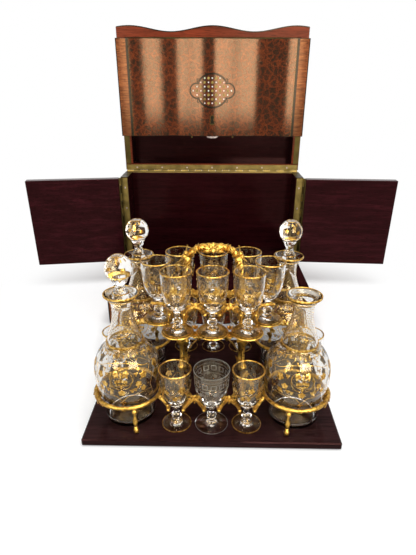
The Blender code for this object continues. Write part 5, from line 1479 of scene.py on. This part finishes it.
def gold_stroke(bm, outline, points, width):
    """A painted line through (angle, height) points on the form."""
    thick = sizes("glass").gold_thickness
    rings = []
    for i, (angle, z) in enumerate(points):
        a, b = points[max(i - 1, 0)], points[min(i + 1, len(points) - 1)]
        r = radius_at(outline, z)
        way = Vector(((b[0] - a[0]) * r, b[1] - a[1])).normalized() * width / 2
        off = (-way.y / r, way.x)
        rings.append([on_form(outline, angle + off[0] * s, z + off[1] * s, lift)
            for s, lift in ((-1, 0.00003), (1, 0.00003), (1, thick), (-1, thick))])
    loft(bm, rings)


def vine_leaf(size, turn, points=20):
    """Outline of a five-lobed leaf."""
    shape = []
    for i in range(points):
        angle = tau * i / points
        reach = size * (0.6 + 0.4 * abs(cos(2.5 * angle)) ** 0.8)
        shape.append((reach * cos(angle + turn), reach * sin(angle + turn)))
    return shape


def disc(size, points=8):
    """Outline of a dot."""
    return [(size * cos(tau * i / points), size * sin(tau * i / points)) for i in range(points)]


def drop(size, turn, points=10):
    """Outline of a pointed drop."""
    shape = []
    for i in range(points):
        angle = tau * i / points
        reach = size * (0.55 + 0.45 * max(0.0, cos(angle)) ** 4)
        u, v = reach * cos(angle), 0.6 * reach * sin(angle)
        shape.append((u * cos(turn) - v * sin(turn), u * sin(turn) + v * cos(turn)))
    return shape


def grapes(bm, outline, angle, z, size, rows=4):
    """A hanging bunch of dots."""
    around = radius_at(outline, z)
    for row in range(rows):
        for i in range(rows - row):
            u = (i - (rows - row - 1) / 2) * size * 2.1
            gold_patch(bm, outline, angle + u / around, z - row * size * 1.9, disc(size, 7))


def gild_glass(rim, foot):
    """The gold of a glass: its rim, foot and dome lines, and a vine round the bowl."""
    glass = sizes("glass")
    rng = random.Random(7)
    bm = bmesh.new()
    outline = bowl_outline(rim)
    inner, top = rim - glass.wall - 0.00025, GLASS_HEIGHT
    lathe(bm, [(inner, top - glass.rim_gold * 0.6), (rim + 0.00015, top - glass.rim_gold),
        (rim + 0.00025, top - 0.0002), (rim - glass.wall / 2, top + 0.0004), (inner, top)], 48, closed=True)
    gold_ring(bm, foot - 0.0002, 0.0008, 0.0005, 0.0005)
    gold_ring(bm, glass.stem_radius + 0.0031, 0.0047, 0.0004, 0.0004)
    for i in range(12):
        angle = tau * (i + rng.uniform(-0.2, 0.2)) / 12
        z = (0.061, 0.05, 0.0575, 0.048, 0.06, 0.053)[i % 6] + rng.uniform(-0.001, 0.001)
        size = glass.vine_leaf * rng.uniform(0.75, 1.15)
        gold_patch(bm, outline, angle, z, vine_leaf(size, rng.uniform(0.0, tau)))
    for strand, (height, swing, waves, phase) in enumerate(((0.056, 0.0042, 5, 0.3), (0.052, 0.0036, 4, 2.1))):
        line = [(turn * 0.97 + strand, height + swing * sin(waves * turn + phase)) for turn in ROUND]
        gold_stroke(bm, outline, line, 0.0005)
    for i in range(9):
        angle = tau * (i + 0.5) / 9
        z = 0.055 + rng.uniform(-0.006, 0.006)
        bend = rng.choice((-1, 1))
        line = [(angle + bend * (0.0045 * sin(t * 0.4)) / 0.017 * (1 - t / 12),
            z + 0.003 * (1 - cos(t * 0.4)) * (1 - t / 14)) for t in range(11)]
        gold_stroke(bm, outline, line, 0.0006)
    for i in range(26):
        gold_patch(bm, outline, rng.uniform(0.0, tau), rng.uniform(0.043, 0.069),
            disc(rng.uniform(0.0008, 0.0013), 6))
    for i in range(4):
        grapes(bm, outline, tau * (i + 0.25) / 4, 0.05, 0.0006)
    for i in range(18):
        gold_patch(bm, outline, tau * i / 18, 0.0412 + 0.0012 * (i % 2), drop(0.0013, pi / 2))
    return bm


def engrave_glass(rim, foot):
    """The wheel-cut matt work of the plain glass: ground edges, a band of squares, lines and small sprigs."""
    bm = bmesh.new()
    outline = bowl_outline(rim)
    gold_ring(bm, rim - 0.0001, GLASS_HEIGHT - 0.0002, 0.0004, 0.0004)
    gold_ring(bm, foot - 0.0001, 0.0008, 0.00025, 0.00025)
    for z in (0.0728, 0.0592):
        gold_stroke(bm, outline, [(turn, z) for turn in ROUND], 0.0005)
    side, middle = 0.0028, 0.0662
    around = radius_at(outline, middle)
    square = ((-side, -side), (side, -side), (side, side), (-side, side), (-side, -side))
    for i in range(13):
        line = [(tau * i / 13 + u / around, middle + v) for u, v in square]
        gold_stroke(bm, outline, line, 0.0011)
    rng = random.Random(3)
    for i in range(14):
        angle = tau * i / 14
        z = 0.056 + 0.0035 * sin(i * 2.0)
        gold_patch(bm, outline, angle, z, vine_leaf(0.0026, rng.uniform(0.0, tau), 15))
        line = [(angle + t * 0.035, z + 0.003 * sin(t * 0.5)) for t in range(10)]
        gold_stroke(bm, outline, line, 0.0003)
    return bm


def decanter_outline():
    """Outside of a decanter, base to lip."""
    return smooth_profile([(share_r * DECANTER_BODY, share_z * DECANTER_HEIGHT)
        for share_z, share_r in DECANTER_SHARES])


def decanter_shape():
    """A decanter as a bmesh: thick base, hollow body, ground neck bore and flared lip."""
    wall = sizes("glass").decanter_wall
    bm = bmesh.new()
    outside = decanter_outline()
    floor, bore, bore_depth = 0.0025, 0.0095, 0.024
    inside = [(r - wall, z) for r, z,
        cut in outside if floor + 0.002 < z < DECANTER_HEIGHT - bore_depth - 0.004]
    top = DECANTER_HEIGHT
    profile = [(0.01, 0.0008), (DECANTER_BODY * 0.68, 0.0)] + outside
    profile += [(DECANTER_BODY * 0.47, top - 0.0003), (0.0135, top - 0.0028), (bore + 0.0008, top - 0.0042),
        (bore, top - 0.006), (bore, top - bore_depth)]
    profile += [(max(r, 0.002), z) for r, z in reversed(inside)]
    profile += [(inside[0][0] - 0.004, floor + 0.0003), (0.004, floor)]
    lathe(bm, profile, 64)
    return bm


def gild_decanter():
    """The gold of a decanter: rings, two lined panels with their baskets, large vine leaves and dots."""
    glass = sizes("glass")
    rng = random.Random(11)
    bm = bmesh.new()
    outline = decanter_outline()

    def patch(angle, z, shape):
        gold_patch(bm, outline, angle, z, shape)

    def stroke(front, points, share):
        gold_stroke(bm, outline, [(front + a, z) for a, z in points], glass.gold_line * share)

    top = DECANTER_HEIGHT
    lip = DECANTER_BODY * 0.51
    lathe(bm, [(lip - 0.0013, top - 0.0001), (lip - 0.0006, top + 0.0003), (lip + 0.0003, top - 0.0002),
        (lip + 0.0003, top - 0.0018), (lip - 0.0004, top - 0.002), (lip - 0.0008, top - 0.0008)],
        64, closed=True)
    gold_ring(bm, 0.0104, top - 0.0048, 0.0003, 0.0003)
    gold_ring(bm, radius_at(outline, top * 0.955), top * 0.955, 0.0004, 0.0005)
    for z, width, half in ((0.102, 0.0012, 0.0015), (0.0992, 0.0002, 0.0003)):
        gold_ring(bm, radius_at(outline, z), z, width, half)
    for i in range(30):
        angle = tau * i / 30
        patch(angle, 0.0965 - 0.0012 * (i % 2), drop(0.002, -pi / 2))
    for i in range(16):
        patch(tau * (i + 0.5) / 16, 0.092, disc(0.0008))
    for i in range(430):
        patch(tau * i * 0.382, 0.107 + 0.044 * (i / 430), disc(0.0007, 4))
    for panel in range(2):
        front = -pi / 2 + panel * pi
        low = [(-1.0, 0.0465), (-0.96, 0.052), (-0.8, 0.0535), (-0.4, 0.0515), (-0.17, 0.0505), (0.0, 0.043),
            (0.17, 0.0505), (0.4, 0.0515), (0.8, 0.0535), (0.96, 0.052), (1.0, 0.0465)]
        stroke(front, self_dense(low), 1.0)
        high = [(-1.0, 0.084), (-0.75, 0.085), (-0.45, 0.089), (0.0, 0.0905), (0.45, 0.089), (0.75, 0.085),
            (1.0, 0.084)]
        stroke(front, flowing(high, 6), 0.8)
        for side in (-1, 1):
            edge = [(side * 1.0, 0.084), (side * 0.9, 0.077), (side * 0.98, 0.068), (side * 0.9, 0.06),
                (side * 0.96, 0.052)]
            stroke(front, flowing(edge, 5), 0.7)
            swag = [(side * 0.06, 0.061), (side * 0.22, 0.063), (side * 0.34, 0.071), (side * 0.3, 0.08)]
            stroke(front, flowing(swag, 6), 0.9)
            for a, z, size in ((0.52, 0.065, 0.004), (0.7, 0.075, 0.0046), (0.66, 0.058, 0.0036),
                    (1.2, 0.068, 0.0062), (1.32, 0.054, 0.0056), (1.25, 0.08, 0.0058), (0.16, 0.08, 0.0036)):
                patch(front + side * a, z, vine_leaf(size, rng.uniform(0, tau), 25))
            for a, z in ((0.3, 0.059), (0.42, 0.06), (0.46, 0.079), (0.56, 0.084)):
                grapes(bm, outline, front + side * a, z, 0.0008, 3)
            scroll = [(side * (1.0 + 0.05 * t * cos(t)), 0.0465 - 0.001 * t) for t in range(7)]
            stroke(front, scroll, 0.8)
        patch(front, 0.0555, vine_leaf(0.0044, 0.3, 25))
        patch(front, 0.063, drop(0.0042, pi / 2))
        for i in range(7):
            patch(front + (i - 3) * 0.055, 0.0715 - 0.0006 * abs(i - 3), drop(0.0032, pi / 2))
            patch(front + (i - 3) * 0.045, 0.0668, disc(0.0011))
        for i in range(5):
            patch(front + (i - 2) * 0.09, 0.0785 - 0.001 * abs(i - 2), drop(0.004, pi / 2))
        for step in (0.039, 0.0365):
            patch(front, step + 0.001, disc(0.0009))
        for sign in (-1, 1):
            patch(front + sign * 0.06, 0.041, drop(0.0022, pi / 2 + sign))
        for i in range(26):
            a, z = rng.uniform(-0.85, 0.85), rng.uniform(0.055, 0.087)
            patch(front + a, z, disc(rng.uniform(0.0006, 0.0011), 7))
    return bm


def self_dense(points, steps=5):
    """Straight runs cut into short steps, so that they follow a round form."""
    dense = []
    for (a0, z0), (a1, z1) in zip(points, points[1:]):
        dense += [(a0 + (a1 - a0) * i / steps, z0 + (z1 - z0) * i / steps) for i in range(steps)]
    return dense + [points[-1]]


def stopper_shape(rise):
    """A stopper as a bmesh: ball at that height, faceted cone and ground plug."""
    bm = bmesh.new()
    plug = 0.0091
    profile = [(0.004, -PLUG_DEPTH), (plug - 0.0004, -PLUG_DEPTH), (plug - 0.0001, -0.0174), (plug, 0.0006),
        (0.0086, 0.0016, 0.5), (0.0066, 0.0052, 1.0), (0.0049, 0.0092, 1.0), (0.005, 0.0106, 1.0),
        (0.0078, rise - 0.0165, 1.0), (0.011, rise - 0.0102, 0.9)]
    for degrees in range(126, 4, -7):
        angle = radians(degrees)
        profile.append((BALL_RADIUS * sin(angle), rise + BALL_RADIUS * cos(angle)))
    lathe(bm, profile, 48)
    return bm


def gild_stopper(rise):
    """The gold of a stopper: a cap ring, a band of drops and a ring at the waist."""
    bm = bmesh.new()
    outline = [(BALL_RADIUS * sin(radians(d)), rise + BALL_RADIUS * cos(radians(d))) for d in range(175, 4, -5)]
    for degrees, half in ((24, 0.0005), (118, 0.0005)):
        angle = radians(degrees)
        gold_ring(bm, BALL_RADIUS * sin(angle), rise + BALL_RADIUS * cos(angle), 0.0004, half)
    for i in range(12):
        z = rise + BALL_RADIUS * cos(radians(40))
        gold_patch(bm, outline, tau * i / 12, z, drop(0.0022, -pi / 2))
        z = rise + BALL_RADIUS * cos(radians(106))
        gold_patch(bm, outline, tau * (i + 0.5) / 12, z, drop(0.0018, pi / 2))
    for i in range(6):
        z = rise + BALL_RADIUS * cos(radians(76 + 8 * (i % 2)))
        gold_patch(bm, outline, tau * i / 6, z, vine_leaf(0.0029, 0.7 * i))
    gold_ring(bm, 0.009, 0.001, 0.0004, 0.0006, 32)
    return bm


def ball_rise(word):
    """Height of a stopper's ball above its decanter's lip; the front left one sits a little lower."""
    return BALL_RISE - (0.004 if word == "front_left" else 0.0)


def stand(name, model, node, turn=0.0, low=0.0, finish="crystal", replaces=()):
    """Sets a copy of a model where a node stands, turned about its axis."""
    corner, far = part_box(node)
    centre = (corner + far) / 2
    place = Matrix.Translation((centre.x, centre.y, corner.z + low)) @ Matrix.Rotation(RACK_YAW + turn, 4, "Z")
    add_piece(name, model.copy(), finish, node, replaces, turn=place)


class LIQUEUR_OT_glasses(bpy.types.Operator):
    """Blow the sixteen glasses"""
    bl_idname = "liqueur.glasses"
    bl_label = "Glasses"

    def execute(self, context):
        small = mesh_from(glass_shape(*SMALL_GLASS), "small_glass")
        large = mesh_from(glass_shape(*LARGE_GLASS), "large_glass")
        for i, node in enumerate(GLASS_NODES):
            stand("blown_" + node, large if node == LARGE_NODE else small, node, i * 0.37, replaces=[node])
        bpy.data.meshes.remove(small)
        bpy.data.meshes.remove(large)
        return {"FINISHED"}


class LIQUEUR_OT_glass_gold(bpy.types.Operator):
    """Gild fifteen glasses and engrave the sixteenth"""
    bl_idname = "liqueur.glass_gold"
    bl_label = "Gilding of the glasses"

    def execute(self, context):
        gold = mesh_from(gild_glass(*SMALL_GLASS), "glass_gold")
        for i, node in enumerate(GLASS_NODES):
            if node != LARGE_NODE:
                stand(node.replace("glass", "gold"), gold, node, i * 1.37, finish="gold")
        frost = mesh_from(engrave_glass(*LARGE_GLASS), "engraving")
        stand(LARGE_NODE.replace("glass", "engraving"), frost, LARGE_NODE, finish="frost")
        bpy.data.meshes.remove(gold)
        bpy.data.meshes.remove(frost)
        return {"FINISHED"}


class LIQUEUR_OT_decanters(bpy.types.Operator):
    """Blow the four decanters and their three stoppers"""
    bl_idname = "liqueur.decanters"
    bl_label = "Decanters and stoppers"

    def execute(self, context):
        body = mesh_from(decanter_shape(), "decanter_glass")
        for word, *_ in quarters(*DECANTER_AT):
            decanter, stopper = "decanter_" + word, "stopper_" + word
            stand("blown_" + decanter, body, decanter, replaces=[decanter])
            if stopper in frame["nodes"]:
                plug = mesh_from(stopper_shape(ball_rise(word)), "stopper_glass")
                stand("cut_" + stopper, plug, stopper, low=PLUG_DEPTH, replaces=[stopper])
                bpy.data.meshes.remove(plug)
        bpy.data.meshes.remove(body)
        return {"FINISHED"}


class LIQUEUR_OT_decanter_gold(bpy.types.Operator):
    """Gild the decanters and the stoppers"""
    bl_idname = "liqueur.decanter_gold"
    bl_label = "Gilding of the decanters"

    def execute(self, context):
        body = mesh_from(gild_decanter(), "decanter_gold")
        for word, *_ in quarters(*DECANTER_AT):
            decanter, stopper = "decanter_" + word, "stopper_" + word
            stand("gold_" + decanter, body, decanter, finish="gold")
            if stopper in frame["nodes"]:
                plug = mesh_from(gild_stopper(ball_rise(word)), "stopper_gold")
                stand("gold_" + stopper, plug, stopper, low=PLUG_DEPTH, finish="gold")
                bpy.data.meshes.remove(plug)
        bpy.data.meshes.remove(body)
        return {"FINISHED"}


# The stage


def add_seen(tree):
    """1 for a ray that the camera, a gloss or glass sees directly, otherwise 0."""
    camera, glossy, through = (add_node(tree, "ShaderNodeLightPath", out=kind) for kind in (
        "Is Camera Ray", "Is Glossy Ray", "Is Transmission Ray"))
    first = add_node(tree, "ShaderNodeMath", {0: camera, 1: glossy}, operation="MAXIMUM")
    return add_node(tree, "ShaderNodeMath", {0: first, 1: through}, operation="MAXIMUM")


class LIQUEUR_OT_stage(bpy.types.Operator):
    """Set up the floor, the light, the world and the camera"""
    bl_idname = "liqueur.stage"
    bl_label = "Stage"

    def execute(self, context):
        self.floor()
        self.world()
        for name, x, width, power in (("panel_right", 0.3, 0.44, 7.6), ("panel_left", -0.44, 0.22, 3.8)):
            light = self.panel(name, (x, -0.89, 0.435), (x * 0.2, 0.11, 0.38), width, 0.38, power)
            light.visible_diffuse = False
            light.visible_camera = False
        self.panel("panel_above", (0.2, -0.5, 1.9), (0.0, -0.1, 0.0), 1.2, 1.2, 24.0)
        self.camera()
        context.scene.view_settings.view_transform = "Standard"
        return {"FINISHED"}

    def floor(self):
        """A light-coloured floor that keeps the shadow, has a painted shadow where it darkens near the case and
        the tray, and runs out into white.
        """
        bm = bmesh.new()
        bmesh.ops.create_grid(bm, x_segments=1, y_segments=1, size=sizes("stage").floor)
        mesh = mesh_from(bm, "floor", clean=False)
        material, tree, shader, coords = start_material("pale_floor")
        tree.nodes.remove(shader)
        shares = add_node(tree, "ShaderNodeVectorMath", {0: coords, 1: (3.4, 2.6, 1.0), 2: (0.0, 0.3, 0.0)},
            operation="MULTIPLY_ADD")
        away = add_node(tree, "ShaderNodeVectorMath", {0: shares}, out="Value", operation="LENGTH")
        fade = add_node(tree, "ShaderNodeMapRange", {"Value": away, "From Min": 0.9, "From Max": 1.5})
        # Painted shadow: near the case and the tray the floor's colour, and the glow that it adds for seen rays,
        # are darker.
        shadowed_tone = add_node(tree, "ShaderNodeMapRange", {"Value": away, "From Min": 0.42, "From Max": 0.68,
            "To Min": 0.3, "To Max": 0.8})
        matt = add_node(tree, "ShaderNodeBsdfDiffuse", {"Color": shadowed_tone})
        seen = add_seen(tree)
        share = add_node(tree, "ShaderNodeMath", {0: shadowed_tone, 1: 0.32}, operation="MULTIPLY")
        lift = add_node(tree, "ShaderNodeMath", {0: share, 1: seen}, operation="MULTIPLY")
        glow = add_node(tree, "ShaderNodeEmission", {"Strength": lift})
        lit = add_node(tree, "ShaderNodeAddShader", {0: matt, 1: glow})
        white = add_node(tree, "ShaderNodeEmission", {"Strength": 1.0})
        gone = add_node(tree, "ShaderNodeMath", {0: fade, 1: seen}, operation="MULTIPLY")
        both = add_node(tree, "ShaderNodeMixShader", {0: gone, 1: lit, 2: white})
        feed(tree, tree.nodes["Material Output"], {"Surface": both})
        mesh.materials.append(material)
        floor = template("floor", mesh)
        floor.location.z = -0.0002

    def world(self):
        """White where it is seen, a plain soft light elsewhere."""
        world = bpy.data.worlds.new("white_surround")
        world.use_nodes = True
        tree = world.node_tree
        strength = add_node(tree, "ShaderNodeMapRange", {"To Min": 0.55, "To Max": 1.0,
            "Value": add_seen(tree)})
        feed(tree, tree.nodes["Background"], {"Color": (1.0, 1.0, 1.0, 1.0), "Strength": strength})
        bpy.context.scene.world = world

    def panel(self, name, place, aim, width, height, power):
        """A soft panel of light that looks at a point."""
        data = bpy.data.lights.new(name, "AREA")
        data.shape = "RECTANGLE"
        data.size = width
        data.size_y = height
        data.energy = power
        light = template(name, data)
        light.location = place
        light.rotation_euler = (Vector(place) - Vector(aim)).to_track_quat("Z", "Y").to_euler()
        return light

    def camera(self):
        """The photograph's viewpoint."""
        stage = sizes("stage")
        yaw, pitch, roll = -stage.yaw, stage.pitch, stage.roll
        forward = Vector((sin(yaw) * cos(pitch), cos(yaw) * cos(pitch), -sin(pitch)))
        right = Vector((cos(yaw), -sin(yaw), 0.0))
        up = right.cross(forward)
        level_right = right * cos(roll) + up * sin(roll)
        level_up = up * cos(roll) - right * sin(roll)
        data = bpy.data.cameras.new("photograph_view")
        data.sensor_fit = "HORIZONTAL"
        data.sensor_width = 36.0
        data.lens = stage.lens
        data.shift_x = -0.0048
        data.shift_y = 0.0292
        camera = template("photograph_view", data)
        turn = Matrix((level_right, level_up, -forward)).transposed().to_4x4()
        camera.matrix_world = Matrix.Translation(stage.place) @ turn
        bpy.context.scene.camera = camera


OPERATORS = (LIQUEUR_OT_boards, LIQUEUR_OT_front, LIQUEUR_OT_panels, LIQUEUR_OT_inlay, LIQUEUR_OT_hinges,
    LIQUEUR_OT_screws, LIQUEUR_OT_rings, LIQUEUR_OT_columns, LIQUEUR_OT_tier, LIQUEUR_OT_gallery,
    LIQUEUR_OT_handle, LIQUEUR_OT_glasses, LIQUEUR_OT_glass_gold, LIQUEUR_OT_decanters,
    LIQUEUR_OT_decanter_gold, LIQUEUR_OT_stage)


class LIQUEUR_PT_panel(bpy.types.Panel):
    """Lists the sizes and the steps of the build"""
    bl_label = "Liqueur Case"
    bl_idname = "LIQUEUR_PT_panel"
    bl_space_type = "VIEW_3D"
    bl_region_type = "UI"
    bl_category = "Liqueur Case"

    def draw(self, context):
        for group, kind in GROUPS.items():
            box = self.layout.box()
            for key in kind.__annotations__:
                box.prop(getattr(context.scene, group), key)
        for operator in OPERATORS:
            self.layout.operator(operator.bl_idname)


def register():
    for kind in (*GROUPS.values(), *OPERATORS, LIQUEUR_PT_panel):
        bpy.utils.register_class(kind)
    for group, kind in GROUPS.items():
        setattr(bpy.types.Scene, group, PointerProperty(type=kind))


def unregister():
    for group in GROUPS:
        delattr(bpy.types.Scene, group)
    for kind in reversed((*GROUPS.values(), *OPERATORS, LIQUEUR_PT_panel)):
        bpy.utils.unregister_class(kind)


def main():
    register()
    for operator in OPERATORS:
        family, step = operator.bl_idname.split(".")
        getattr(getattr(bpy.ops, family), step)()


if __name__ == "__main__":
    main()
